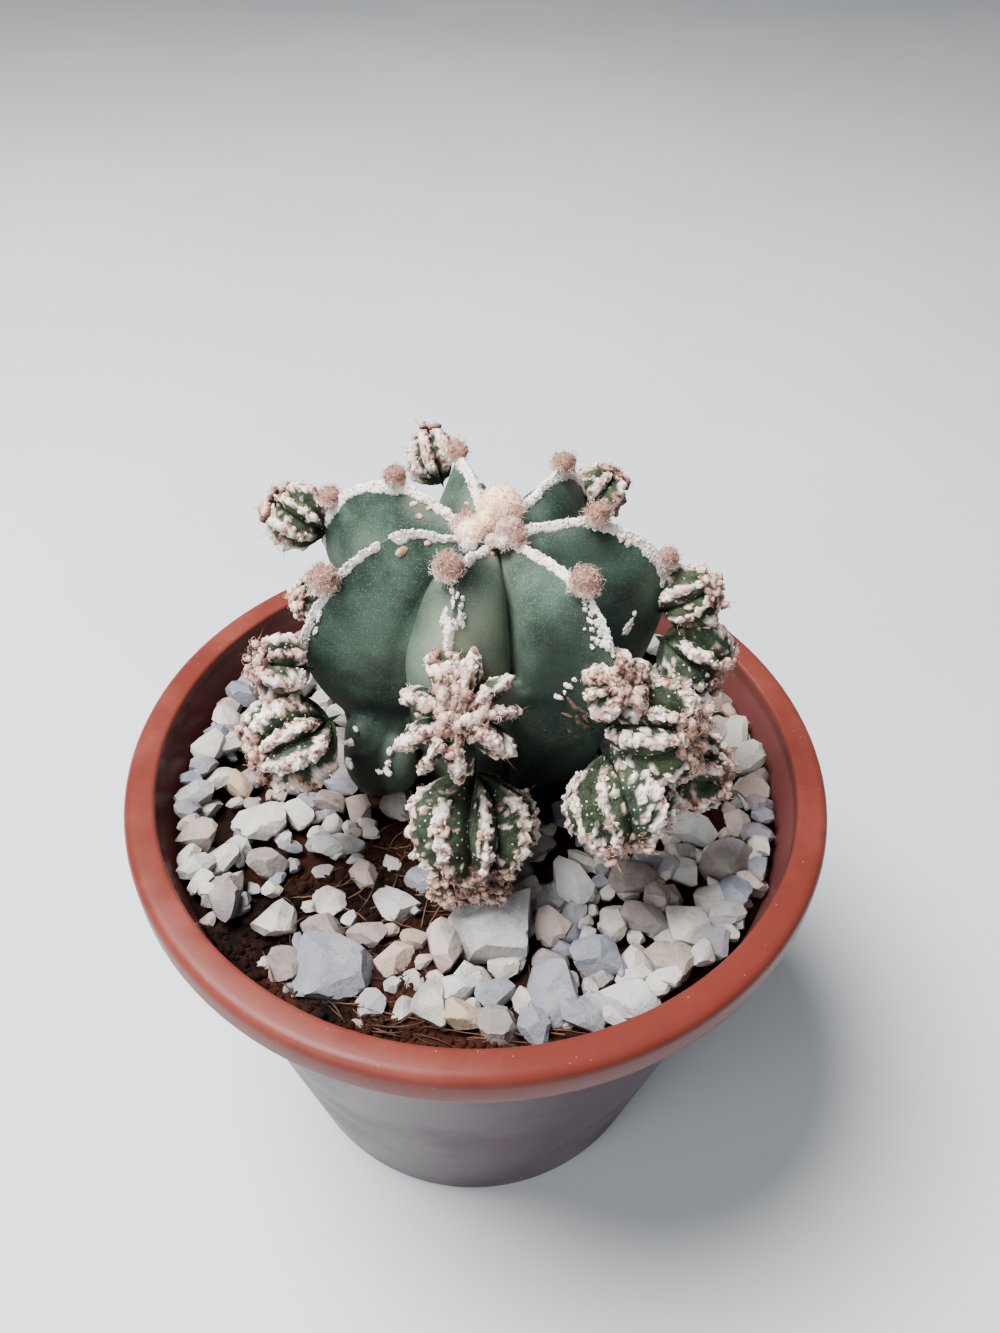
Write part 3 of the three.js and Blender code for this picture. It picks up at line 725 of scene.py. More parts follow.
def heap_of(name, chips):
    """One mesh of many chips, each given as (at, half, turn, seed, detail, tone)."""
    points, faces, tones, soiled, start = [], [], [], [], 0
    for at, half, turn_angle, seed, detail, tone in chips:
        p, f, under = chip(at, half, turn_angle, seed, detail)
        room = wall_radius(p[:, 2]) - POT_WALL - WALL_ROOM
        p[:, :2] *= np.minimum(1, room / np.maximum(np.hypot(p[:, 0], p[:, 1]), 1e-6))[:, None]
        # A painted shadow of the plant on the chips by the stem, on the left
        plant_shadow = smooth(PLANT_SHADOW_TO, PLANT_SHADOW_FROM, from_plant(p[:, 0], p[:, 1])) * smooth(*PLANT_SHADOW_LEFT, p[:, 0])
        points.append(p)
        faces.append(f + start)
        tones.append(np.full(len(p), tone))
        soiled.append(np.maximum(under, plant_shadow))
        start += len(p)
    values = {"tone": np.concatenate(tones), "soiled": np.concatenate(soiled)}
    mesh = mesh_from(name, np.concatenate(points), np.concatenate(faces), values)
    mesh.set_sharp_from_angle(angle=CHIP_CREASE)
    return mesh


# %% [markdown]
# The big chips are read off the photograph one by one. The rest of the bed is thrown: a place is drawn at
# random and kept if no chip is too close, if it is clear of the stem, and if it is not on the bare soil.

# %% Where the chips lie
BED_TOP, BED_OUTER, BED_INNER = 61.0, 38.7, 11.6
BARE_FROM, BARE_TO, BARE_SOIL_TOP = -141, -99, 60.2
GRIT_COUNT, GRIT_TRIES, GRIT_SEED = 98, 9000, 20261
GRIT_SMALLEST, GRIT_SPREAD, GRIT_CLOSENESS = 2.2, 2.1, 0.66
GRIT_LIFT, LARGE_CHIP_LIFT, LOOSE_LIFT = 0.14, 0.22, 0.12
WALL_MARGIN, STEM_MARGIN, BARE_MARGIN = 0.75, 0.7, 0.5
CREAM, WHITE, GREY, BLUE, TAN, ROSE = 0.1, 0.3, 0.5, 0.7, 0.88, 0.97
# Stones as x, y, half size, turn in degrees and tone
LOOSE_STONES = [
    (-15.5, -29, 5, 0, GREY), (-17.5, -23.5, 2.7, 0, BLUE), (-17, -19.5, 2.4, 45, CREAM),
    (-12, -24, 2.3, 0, BLUE), (-9.5, -20, 3, -30, WHITE), (-9, -27, 2.3, 50, TAN),
    (-13.5, -16, 2.3, -40, ROSE), (-21.5, -28, 3, 90, BLUE), (-11, -33, 2.1, 15, WHITE),
    (-7, -33.5, 1.7, 65, CREAM), (-6.5, -30, 1.6, -20, WHITE), (-6.5, -16, 2, 0, GREY),
    (-16.5, -11, 2.3, 30, WHITE),
]
LARGE_CHIPS = [
    (-23, -23, 3, 80, CREAM), (-4, -33, 2.8, 90, CREAM), (-1, -31, 2.6, 15, WHITE),
    (-3, -26, 2.9, -80, ROSE), (2.5, -23, 5.2, -15, WHITE), (3.5, -35.5, 2.7, -20, BLUE),
    (7.5, -35.5, 2.3, -70, GREY), (9.5, -31, 3.9, -70, GREY), (12.5, -34, 2.5, -55, GREY),
    (17.5, -32.5, 3.6, 0, WHITE), (12, -16.5, 3.4, -70, WHITE), (19, -16, 2.8, 0, BLUE),
    (20.5, -21.5, 3, 0, BLUE), (30, -19.5, 3.6, -70, CREAM), (26, -22.5, 3, -70, CREAM),
    (-1, -18, 3.2, 0, ROSE), (31.5, -12, 3.3, 0, BLUE), (27.5, -7.5, 3.2, 0, WHITE),
    (-30, -19, 2.9, 25, BLUE), (-25.5, -15, 2.6, 0, BLUE),
]


def in_bare_sector(x, y, margin):
    """Whether a place is on the bare soil, or within a margin of it."""
    angle = math.degrees(math.atan2(y, x))
    slack = math.degrees(margin / max(8, math.hypot(x, y)))
    return BARE_FROM - slack < angle < BARE_TO + slack


def throw_chips(draw, kept, count, smallest, spread, closeness, lift, outer=BED_OUTER):
    """Adds chips at random places of the bed that have room for them."""
    chips = list(kept)
    for _ in range(GRIT_TRIES):
        if len(chips) >= count:
            break
        x, y = (2 * draw.one() - 1) * BED_OUTER, (2 * draw.one() - 1) * BED_OUTER
        half = smallest + spread * draw.one() ** 2
        turn_angle = 2 * math.pi * draw.one()
        clear = (
            math.hypot(x, y) < outer - WALL_MARGIN * half
            and math.hypot(x - PLANT[0], y - PLANT[1]) > BED_INNER + STEM_MARGIN * half
            and not in_bare_sector(x, y, BARE_MARGIN * half)
            and all(math.hypot(x - c[0][0], y - c[0][1]) > closeness * (half + c[1]) for c in chips)
        )
        if clear:
            chips.append(((x, y, BED_TOP + lift * half), half, turn_angle))
    return chips


def random_tone(draw):
    """A chip's tone: mostly cream, white and grey, with some blue-grey and a few warm ones."""
    x = draw.one()
    shares = ((0.3, CREAM), (0.54, WHITE), (0.74, GREY), (0.91, BLUE), (0.96, TAN), (1.01, ROSE))
    return next(tone for limit, tone in shares if x < limit) + 0.05 * draw.signed()


# %% [markdown]
# Smaller chips fill the gaps between the ones that the solids show, a row of them is heaped against the
# wall, and a few scraps lie on the bare soil. Chips near the camera get finer meshes.

# %% The bed of chips
FILL_COUNT, FILL_SMALLEST, FILL_SPREAD, FILL_CLOSENESS, FILL_DEPTH = 460, 1.1, 1.25, 0.37, -0.2
WALL_ROW_FROM, WALL_ROW_TO, WALL_ROW_Z, WALL_ROW_RADIUS, WALL_ROW_PITCH = -66, 214, 61.9, 39.4, 0.56
NEAR_CHIPS, MIDDLE_CHIPS, FILL_FRONT, SCRAP_LIFT = -19, -13, -34.5, 0.4
BED_SEED, FILL_SEED, LONE_SEED = 5000, 40000, 9001
FILL_PLACES, WALL_PLACES, BED_TONES, FILL_TONES = 777, 9191, 311, 733
# Small chips that lie singly on the bare soil, as x, y and half size
SCRAPS = [
    (-19.5, -20.5, 1.3), (-14.5, -22, 1.1), (-20, -25.5, 1.2), (-12.5, -29.5, 1.0), (-9.5, -23.5, 1.1),
    (-15, -13.5, 1.2), (-10.5, -13.8, 1.3), (-18.6, -15.5, 1.3), (-7.2, -20.4, 1.2), (-6.4, -24.6, 1.5),
    (-12, -35.6, 1.1), (-5.4, -27.6, 1.3), (-8.6, -30.6, 1.2), (-20.4, -31.4, 1.1), (-11.4, -18.3, 0.9),
    (-23.6, -28.2, 1.0),
]


def wall_row(draw):
    """A row of chips heaped against the wall, all round but for the bare front."""
    angle, chips = WALL_ROW_FROM, []
    while angle < WALL_ROW_TO:
        half = 1.6 + 1.3 * draw.one() ** 1.5
        r = WALL_ROW_RADIUS - (0.72 + 0.5 * draw.one()) * half
        half_step = math.degrees(WALL_ROW_PITCH * half / r)
        angle += half_step
        x, y = r * math.cos(math.radians(angle)), r * math.sin(math.radians(angle))
        chips.append(((x, y, WALL_ROW_Z + 1.1 * draw.one()), half, 2 * math.pi * draw.one()))
        angle += half_step
    return chips


def bed_chips():
    """The chips that the solids show."""
    large = [
        ((x, y, BED_TOP + LARGE_CHIP_LIFT * half), half, math.radians(t))
        for x, y, half, t, _ in LARGE_CHIPS
    ]
    main = throw_chips(
        Draws(GRIT_SEED), large, GRIT_COUNT, GRIT_SMALLEST, GRIT_SPREAD, GRIT_CLOSENESS, GRIT_LIFT
    )
    tones, chips = Draws(BED_TONES), []
    for i, (at, half, turn_angle) in enumerate(main):
        tone = LARGE_CHIPS[i][4] if i < len(LARGE_CHIPS) else random_tone(tones)
        chips.append((at, half, turn_angle, BED_SEED + 31 * i, 4 if at[1] < NEAR_CHIPS else 3, tone))
    return chips


def filling_chips():
    """Smaller chips between and under the others, the row at the wall, and scraps on the bare soil."""
    fill = throw_chips(
        Draws(FILL_PLACES), [], FILL_COUNT, FILL_SMALLEST, FILL_SPREAD, FILL_CLOSENESS, FILL_DEPTH,
        BED_OUTER + 1,
    )
    fill = [row for row in fill if row[0][1] > FILL_FRONT]
    scraps = [((x, y, BARE_SOIL_TOP + SCRAP_LIFT * half), half, x) for x, y, half in SCRAPS]
    tones, chips = Draws(FILL_TONES), []
    for i, (at, half, turn_angle) in enumerate(fill + wall_row(Draws(WALL_PLACES)) + scraps):
        detail = 3 if at[1] < MIDDLE_CHIPS else 2
        chips.append((at, half, turn_angle, FILL_SEED + 29 * i, detail, random_tone(tones)))
    return chips


# %% [markdown]
# Limestone is chalky and quiet: pale cream, white and blue-grey, with faint veins, grey stains and dark
# grains. The tone picks the stone's colour from a ramp, and a dark earth colour covers the undersides and
# the chips by the stem, as soil and painted shade.

# %% Limestone
STONE_STOPS = (
    (0.0, (157, 148, 137)), (0.2, (169, 165, 159)), (0.42, (124, 124, 127)), (0.6, (78, 85, 103)),
    (0.82, (150, 126, 99)), (0.93, (150, 133, 125)),
)


def limestone():
    finish = Finish("limestone", roughness=0.85, Specular_IOR_Level=0.3)
    vein = finish.mask(MOTTLE, Scale=300, Low=0.45, High=0.62)
    stain = finish.mask(MOTTLE, Scale=150, Low=0.46, High=0.64)
    grain = finish.mask(SPECKLE, Scale=3200, Dot=0.3, Share=0.35)
    stone = finish.ramp(finish.kept("tone"), STONE_STOPS)
    veined = finish.over(stone, vein, 0.16, (200, 195, 189))
    stained = finish.over(veined, stain, 0.55, (92, 88, 92))
    grained = finish.over(stained, grain, 0.3, (62, 58, 58))
    # Soil and painted shade on the undersides, and the plant's painted shadow by the stem
    finish.colour(finish.over(grained, finish.kept("soiled"), 0.8, (58, 46, 41)))
    finish.rough(vein, 0.74, 0.94)
    finish.bump(900, 7, 0.26, 0.9, rough=0.7)
    finish.bump(240, 4, 0.8, 0.6)
    return finish.material


LIMESTONE = limestone()


def stone_piece(name, chips, stands_for):
    piece(name, [painted(heap_of("chips", chips), LIMESTONE)], stands_for)


stone_piece("chip_bed", bed_chips(), "limestone_grit")
stone_piece("chip_filling", filling_chips(), "limestone_grit")
for i, (x, y, half, t, tone) in enumerate(LOOSE_STONES):
    lone = ((x, y, BARE_SOIL_TOP + LOOSE_LIFT * half), half, math.radians(t), LONE_SEED + 17 * i, 4, tone)
    stone_piece(f"lone_chip_{i + 1:02d}", [lone], f"loose_stone_{i + 1:02d}")


# %% [markdown]
# ## Peat and coir
# The compost is dark peat with crumbs of every size and many fine brown coir fibres. The ground is a disc
# that follows noise, a little lower under the chips, on a plain closed body that fills the pot. Crumbs are
# scattered on it by the node tree, and the fibres are threads along short wandering paths.

# %% Peat
def peat():
    finish = Finish("peat", roughness=0.95, Specular_IOR_Level=0.08)
    clod = finish.mask(MOTTLE, Scale=420, Low=0.38, High=0.66)
    red = finish.mask(MOTTLE, Scale=70, Low=0.45, High=0.62)
    light = finish.mask(SPECKLE, Scale=1500, Dot=0.2, Share=0.1)
    dark = finish.mix(clod, (9, 4, 2), (30, 14, 9))
    warm = finish.over(dark, red, 0.6, (56, 27, 17))
    finish.colour(finish.over(warm, light, 0.35, (74, 46, 33)))
    finish.bump(900, 8, 0.4, 0.9, rough=0.7)
    return finish.material


PEAT = peat()
GROUND_SIDES, GROUND_ROWS, GROUND_LOW = 160, 52, 59.3
SOIL_BOTTOM, SOIL_HEAP, HEAP_FROM, HEAP_TO = FLOOR_TOP + 0.35, 0.9, 34, 39


def open_ground(x, y, angle):
    """Where the soil lies open: in the bare sector, and along the rim in front of the chips."""
    degrees = np.degrees(angle)
    degrees = np.where(degrees > 180, degrees - 360, degrees)
    sector = smooth(BARE_FROM - 7, BARE_FROM + 3, degrees) * (1 - smooth(BARE_TO - 3, BARE_TO + 7, degrees))
    by_rim = smooth(36, 37.5, np.hypot(x, y))
    front = by_rim * smooth(-112, -98, degrees) * (1 - smooth(-80, -66, degrees))
    return np.maximum(np.broadcast_to(sector, x.shape), front)


def peat_ground():
    """The soil as one closed body: a rough top, a tapered side and a flat bottom."""
    angle = whole_turn(GROUND_SIDES)
    edge = wall_radius(BARE_SOIL_TOP) - POT_WALL - 0.15
    r = edge * np.linspace(0.02, 1, GROUND_ROWS)[:, None]
    flat = around_axis(r, angle, 0.0)
    x, y = flat[..., 0], flat[..., 1]
    open_soil = open_ground(x, y, angle)
    bare = np.maximum(open_soil, 1 - smooth(10, 14, from_plant(x, y)))
    rough = 0.42 * noise(flat, 2.6, 3) + 0.3 * noise(flat, 0.9, 4) + 0.12 * noise(flat, 0.45, 5)
    level = GROUND_LOW + (BARE_SOIL_TOP - GROUND_LOW) * bare
    heap = SOIL_HEAP * smooth(HEAP_FROM, HEAP_TO, r)
    rings = [np.stack([x, y, level + rough * (0.5 + 0.5 * bare) + heap], -1)]
    for height in (40, 20, SOIL_BOTTOM):
        rings.append(around_axis(wall_radius(height) - POT_WALL - 0.32, angle, height)[None])
    points = with_poles([0, 0, BARE_SOIL_TOP], np.concatenate(rings), [0, 0, SOIL_BOTTOM])
    shown = np.maximum(open_soil * smooth(9, 11, from_plant(x, y)), 0.03 * bare)
    cover = np.concatenate([[0], shown.ravel(), np.zeros(len(points) - 1 - shown.size)])
    return mesh_from("ground", points, ring_faces(GROUND_ROWS + 3, GROUND_SIDES), {"cover": cover})


# %% [markdown]
# A crumb is repeated hundreds of times, so it has few faces: at most three rows of six points between two
# poles, dented by noise. At a millimetre across nobody sees more.

# %% Crumbs
def low_ball(sides=6):
    """The points and triangles of a ball with few faces, for things that are repeated many times."""
    rows = []
    for height, twist in ((0.62, 0), (-0.05, 0.5), (-0.7, 0)):
        turned = whole_turn(sides) + twist * 2 * np.pi / sides
        rows.append(around_axis(math.sqrt(1 - height * height), turned, height))
    return with_poles([0, 0, 1], np.array(rows), [0, 0, -1]), ring_faces(3, sides)


def clod_mesh(seed, shape):
    """A rough crumb about 1 mm across."""
    way, faces = shape
    reach = 0.5 * (1 + 0.38 * noise(way, 0.7, seed))
    return mesh_from("clod", way * reach[:, None] * np.array([1, 0.8, 0.7]), faces)


# %% [markdown]
# A thread is a small ring drawn along a path. The second tree does it for every path of a curve at once,
# and each point's own radius thins the thread towards its ends.

# %% The thread tree
def thread_tree():
    """A node tree that draws a round thread along every path of a curve."""
    tree, given, out = node_group("thread", "GeometryNodeTree", {
        "Geometry": "Geometry", "Radius": "Float", "Material": "Material",
    }, Geometry="Geometry")
    ring = node(tree, "GeometryNodeCurvePrimitiveCircle", Resolution=4, Radius=given["Radius"])
    drawn = node(
        tree, "GeometryNodeCurveToMesh", given["Geometry"], ring.outputs["Curve"],
        node(tree, "GeometryNodeInputRadius").outputs[0], True,
    )
    finish_tree(tree, given, out, drawn.outputs[0])
    return tree


THREAD = thread_tree()


def threads(paths, radius, material):
    """Round threads along paths of (x, y, z, share of the radius), in millimetres."""
    curve = bpy.data.curves.new("paths", "CURVE")
    curve.dimensions = "3D"
    for path in paths:
        spline = curve.splines.new("POLY")
        spline.points.add(len(path) - 1)
        for point, (x, y, z, share) in zip(spline.points, path):
            point.co, point.radius = (x * MM, y * MM, z * MM, 1), share
    return run_tree(THREAD, curve, {"Radius": radius * MM, "Material": material})


# %% [markdown]
# Coir is the coarse fibre of coconut husk. A fibre is a walk over the soil, step by step with a steady
# bend, and it arches a little off the ground. A third of them lie along the rim.

# %% Coir and the finished soil
FIBRE_COUNT, FIBRE_POINTS, FIBRE_RADIUS, FIBRE_LIMIT, SHORTEST_FIBRE = 130, 11, 0.06, 38.6, 5
FIBRE_SEED, CLODS_PER_MM2, CRUMBS_PER_MM2 = 4242, 0.42, 1.3


def fibre(draw, along_rim):
    """The path of one fibre: where it starts and heads, how it bends and lifts, and how thick it is."""
    if along_rim:
        azimuth, r = -132 + 62 * draw.one(), 35.8 + 2.4 * draw.one()
        heading = math.radians(azimuth + 90) + 0.3 * draw.signed()
    else:
        azimuth, r = BARE_FROM + 3 + (BARE_TO - BARE_FROM - 6) * draw.one(), 13 + 21 * draw.one()
        heading = 2 * math.pi * draw.one()
    x, y = r * math.cos(math.radians(azimuth)), r * math.sin(math.radians(azimuth))
    step = (0.35 + 0.85 * draw.one()) * (1.3 if along_rim else 0.8)
    bend, lift, thick, path = 0.18 * draw.signed(), 0.1 + 0.9 * draw.one() ** 2, 0.5 + draw.one(), []
    for t in np.arange(FIBRE_POINTS) / (FIBRE_POINTS - 1):
        if math.hypot(x, y) < FIBRE_LIMIT:
            ground = BARE_SOIL_TOP + 0.2 + SOIL_HEAP * smooth(HEAP_FROM, HEAP_TO, math.hypot(x, y))
            z = ground + lift * math.sin(math.pi * t) + 0.1 * draw.signed()
            path.append((x, y, z, thick * (0.35 + math.sin(math.pi * (0.08 + 0.84 * t)))))
        heading += bend + 0.14 * draw.signed()
        x, y = x + step * math.cos(heading), y + step * math.sin(heading)
    return path


def coir():
    finish = Finish("coir", roughness=0.7, Specular_IOR_Level=0.2)
    shade = finish.mask(MOTTLE, Scale=250, Low=0.38, High=0.62)
    finish.colour(finish.mix(shade, (34, 21, 16), (92, 63, 44)))
    finish.bump(2500, 2, 0.04, 0.5)
    return finish.material


def soil_meshes():
    """The ground, the crumbs on it, and the fibres, of which every third lies along the rim."""
    ground = peat_ground()
    clods = things("clods", [clod_mesh(s, low_ball()) for s in (11, 12, 13, 14)])
    small = things("crumbs", [clod_mesh(s, ball(1)) for s in (21, 22)])
    draw = Draws(FIBRE_SEED)
    paths = [fibre(draw, n % 3 == 0) for n in range(FIBRE_COUNT)]
    return [
        painted(ground, PEAT), scatter(ground, clods, CLODS_PER_MM2, (0.6, 2.0), 180, 5, PEAT),
        scatter(ground, small, CRUMBS_PER_MM2, (0.3, 1.0), 180, 6, PEAT),
        threads([path for path in paths if len(path) >= SHORTEST_FIBRE], FIBRE_RADIUS, coir()),
    ]


piece("peat_and_coir", soil_meshes(), "soil")

# %% [markdown]
# ## The stem
# The stem is seven swollen ribs round a dimpled crown. A point on it is found by going round, counted in
# ribs, and down, counted in stations of each rib's crest. Between crest and groove the skin swells like a
# pillow, so crests are sharp and grooves are deep creases.

# %% The skin as a rule
CROWN_HEIGHT = 98.2
RIBS = [
    (-107, [(5, 99.6), (10.5, 102), (14.5, 97.5), (16.5, 88), (14.5, 74)]),
    (-49, [(5, 99.8), (13, 100.2), (18.5, 96.5), (20.6, 88), (17.5, 74)]),
    (1, [(5, 100), (11.5, 100.6), (18.4, 96.6), (20.5, 89), (17, 75)]),
    (54, [(6, 99.8), (12.5, 100.6), (17.5, 97), (20, 88), (17, 75)]),
    (108, [(6, 99.4), (11, 100.4), (17, 98), (20.5, 89), (17, 75)]),
    (154, [(5, 99.2), (12.5, 101.4), (20.3, 97.4), (24.2, 89), (19, 76)]),
    (197, [(5.5, 99.2), (11.2, 100.6), (18.5, 95.6), (23, 85.5), (18, 73)]),
]
GROOVE = [(3.6, 96.8), (7.8, 94), (10.6, 88.5), (11.6, 81.5), (10.6, 71)]
ROOT = [(9.4, 63), (8, 57), (5, 44), (0, 38)]
RIB_COUNT, RIB_FULLNESS, RIB_POWER = len(RIBS), 0.8, 0.5
# The front rib is fuller than the others, and the groove on its left leans away from it
FRONT_POWER, GROOVE_LEAN = 0.37, 0.1


def stations(row):
    return np.array([(0, CROWN_HEIGHT)] + list(row) + ROOT, float)


def along(row, at):
    """A smooth value through a row of stations, read at any place along it."""
    i = np.minimum(np.floor(at).astype(int), len(row) - 2)
    t = (at - i)[..., None]
    a, b, c, d = (row[np.clip(i + k, 0, len(row) - 1)] for k in (-1, 0, 1, 2))
    return b + 0.5 * t * (c - a + t * (2 * a - 5 * b + 4 * c - d + t * (3 * (b - c) + d - a)))


def rib_point(around, down):
    """The point on the skin at a place round it and down it. Both may be arrays."""
    around, down = np.broadcast_arrays(np.asarray(around, float), np.asarray(down, float))
    i = np.floor(around).astype(int) % RIB_COUNT
    turned = around - np.floor(around)
    azimuths = np.array([rib[0] for rib in RIBS], float)
    span = (azimuths[(i + 1) % RIB_COUNT] - azimuths[i]) % 360
    lean = np.where(i == RIB_COUNT - 1, 4 * GROOVE_LEAN * turned * (1 - turned), 0)
    azimuth = np.radians(azimuths[i] + span * (turned - lean))
    share = np.abs(1 - 2 * turned)
    which = np.where(turned <= 0.5, i, (i + 1) % RIB_COUNT)
    power = np.where(which == 0, FRONT_POWER, RIB_POWER)
    rise = (RIB_FULLNESS * share**power + (1 - RIB_FULLNESS) * share**3)[..., None]
    crests = np.stack([along(stations(rib[1]), down) for rib in RIBS])
    crest = np.take_along_axis(crests, which[None, ..., None], 0)[0]
    groove = along(stations(GROOVE), down)
    rz = groove + rise * (crest - groove)
    return around_axis(rz[..., 0], azimuth, rz[..., 1]) + np.array([*PLANT, 0])


def outwards(around, down, step=0.02):
    """A place on the skin and the direction that it faces. On a crest it is the mean of both flanks."""
    around, down = np.asarray(around, float) + RIB_COUNT, np.asarray(down, float)
    tangent = rib_point(around, down + step) - rib_point(around, down - step)
    side = rib_point(around + step, down) - rib_point(around - step, down)
    return rib_point(around, down), unit(np.cross(tangent, side))


print("front crest at its first areole:", rib_point(0, 2.1).round(1))

# %% [markdown]
# The skin is dull dark green, greyer and paler on the front rib, and stippled with tiny pale flecks of the
# same felt that covers the crests. Painted light makes the upper stem lighter, and painted shade darkens
# the foot and patches of the flanks. Those broad shades depend on where they are on the plant, so the mesh
# keeps them as numbers, and the shader adds the fine dots.

# %% Skin finish
def cactus_skin():
    finish = Finish("cactus_skin", roughness=0.6, Specular_IOR_Level=0.2)
    cloud = finish.mask(MOTTLE, Scale=130, Low=0.38, High=0.64)
    dark = finish.mask(SPECKLE, Scale=3600, Dot=0.28, Share=0.4)
    dots = finish.mask(SPECKLE, Scale=4800, Dot=0.27, Share=0.6)
    smudge = finish.mask(MOTTLE, Scale=45, Low=0.52, High=0.7)
    bits = finish.mask(SPECKLE, Scale=1300, Dot=0.08, Share=0.035)
    skin = finish.mix(cloud, (33, 47, 39), (59, 78, 66))
    # Layers from the deepest to the topmost, each as a mask, a share and a colour. The first is the front
    # rib's paler colour with painted light higher up, and the last is painted shade
    for layer in (
        (finish.kept("pale"), 0.9, (136, 146, 126)), (dark, 0.32, (20, 30, 26)),
        (dots, 0.3, (146, 158, 142)), (smudge, 0.22, (86, 84, 70)), (bits, 0.5, (206, 208, 194)),
        (finish.kept("old"), 0.94, (7, 15, 12)),
    ):
        skin = finish.over(skin, *layer)
    finish.colour(skin)
    finish.rough(cloud, 0.52, 0.68)
    finish.bump(2600, 4, 0.05, 0.45)
    finish.bump(220, 3, 0.3, 0.3)
    return finish.material


CACTUS_SKIN = cactus_skin()

# %% [markdown]
# The stem's mesh reads the rule at rows and columns that crowd where the skin bends most. A rule for ribs
# can't give the swellings low on the stem, so these are balls that are joined to it as solids.

# %% The stem's mesh
# Swellings low on the stem, as centre and half sizes. The second and the third catch the light, so they get
# less painted shade
HUMPS = [
    ((8.4, -7.4, 81.4), (4.5, 4.3, 4.7)), ((-14.2, -4.6, 74.6), (2.4, 2.5, 2.4)),
    ((-9.2, -6.0, 70.6), (2.4, 2.6, 5.0)), ((-12.6, -2.9, 68.8), (5.1, 5.3, 7.3)),
    ((15.6, 10.5, 76), (3.6, 3.6, 4.2)), ((-13.5, 14, 77), (3.4, 3.4, 4)),
]
LIT_HUMPS = HUMPS[1:3]
STEM_ROWS, HALF_RIB_COLUMNS = 112, 12


def stem_skin():
    """The skin as one closed mesh, with more columns near the crests and more rows near the crown."""
    half = 0.5 * np.linspace(0, 1, HALF_RIB_COLUMNS + 1) ** 1.5
    turned = np.concatenate([half, 1 - half[1:-1][::-1]])
    around = np.concatenate([i + turned for i in range(RIB_COUNT)])
    down = 0.15 + 7.85 * np.linspace(0, 1, STEM_ROWS) ** 1.25
    a, d = np.meshgrid(around, down)
    grid = rib_point(a, d)
    share = np.abs(1 - 2 * (a - np.floor(a)))
    away = grid - np.array([*PLANT, 0])
    away[..., 2] = 0
    away /= np.linalg.norm(away, axis=-1, keepdims=True) + 1e-9
    swell = 0.3 * noise(grid, 6.0, 1) + 0.1 * noise(grid, 2.2, 2)
    grid = grid + away * (swell * smooth(0.02, 0.3, 1 - share) * smooth(0.8, 1.6, d))[..., None]
    points = with_poles([*PLANT, CROWN_HEIGHT], grid, [*PLANT, ROOT[-1][1]])
    return mesh_from("stem_skin", points, ring_faces(STEM_ROWS, len(around)))


def hump_meshes():
    for i, (at, radii) in enumerate(HUMPS):
        way, faces = ball(4)
        lump = way * np.array(radii) * (1 + 0.05 * noise(way, 0.8, i))[:, None] + np.array(at)
        yield mesh_from("hump", lump, faces)


# %% [markdown]
# Joined solids meet in hard creases, which skin never has. Points near a crease are eased towards the mean
# of their neighbours, round after round, until the swellings look grown. Then the mesh keeps its painted
# light and painted shade.

# %% Softening and shading the stem
CREASE_ROUNDS, CREASE_REACH, CREASE_STEP = 24, 0.5, 0.6
# Patches of painted shade on the flanks: centre, half sizes and depth
PAINTED_SHADE_PATCHES = [
    ((9.0, -9.9, 90.5), (4.4, 4.6, 9.5), 0.85), ((15.2, -1.0, 94.0), (6.0, 4.5, 6.5), 0.42),
    ((12.4, 2.2, 98.4), (5.4, 3.8, 3.6), 0.62),
]


def how_far(p, at, radii):
    """How far points are from the centre of an ellipsoid, where 1 is on its surface."""
    return np.linalg.norm((p - np.array(at)) / np.array(radii), axis=1)


def soften_creases(mesh):
    """Rounds the creases where the swellings leave the skin."""
    p = points_of(mesh)
    ends = np.empty(len(mesh.edges) * 2, np.int32)
    mesh.edges.foreach_get("vertices", ends)
    a, b = ends.reshape(-1, 2).T
    off_surface = [np.abs(how_far(p, *hump) - 1) for hump in HUMPS]
    weight = 1 - smooth(0.1, CREASE_REACH, np.min(off_surface, axis=0))
    near = np.bincount(a, minlength=len(p)) + np.bincount(b, minlength=len(p))
    for _ in range(CREASE_ROUNDS):
        mean = np.stack([
            np.bincount(a, p[b, k], len(p)) + np.bincount(b, p[a, k], len(p)) for k in range(3)
        ], 1) / near[:, None]
        p += CREASE_STEP * weight[:, None] * (mean - p)
    mesh.vertices.foreach_set("co", (p * MM).astype(np.float32).ravel())
    mesh.update()
    return mesh


def shade_stem(mesh):
    """Keeps where the skin is paler: most on the front rib, and as painted light higher up the stem. Keeps
    painted shade at the foot and on patches of the flanks, less on the humps that catch the light.
    """
    p = points_of(mesh)
    azimuth = np.degrees(np.arctan2(p[:, 1] - PLANT[1], p[:, 0] - PLANT[0]))
    front = np.exp(-(((azimuth + 104) / 21) ** 2)) * smooth(101, 96, p[:, 2])
    front *= (0.74 + 0.4 * noise(p, 5, 8)) * (1 - 0.3 * smooth(93, 98, p[:, 2]))
    # Painted light: the upper stem is a little lighter
    lit = 0.22 * smooth(0.0, 0.7, noise(p, 7, 9)) * smooth(80, 92, p[:, 2])
    keep_numbers(mesh, "pale", np.clip(front + lit, 0, 1))
    lit_humps = 1 - smooth(1.02, 1.3, np.min([how_far(p, *hump) for hump in LIT_HUMPS], axis=0))
    # Painted shade: dark towards the foot, less on the front rib and on the humps that catch the light, and
    # on patches of the flanks
    old = smooth(83, 74, p[:, 2] + 2 * noise(p, 3, 12)) * (1 - 0.5 * lit_humps) * (1 - 0.6 * front)
    for at, radii, depth in PAINTED_SHADE_PATCHES:
        old = np.maximum(old, depth * smooth(1.25, 0.35, how_far(p, at, radii) + 0.3 * noise(p, 3, 14)))
    keep_numbers(mesh, "old", old)
    return mesh


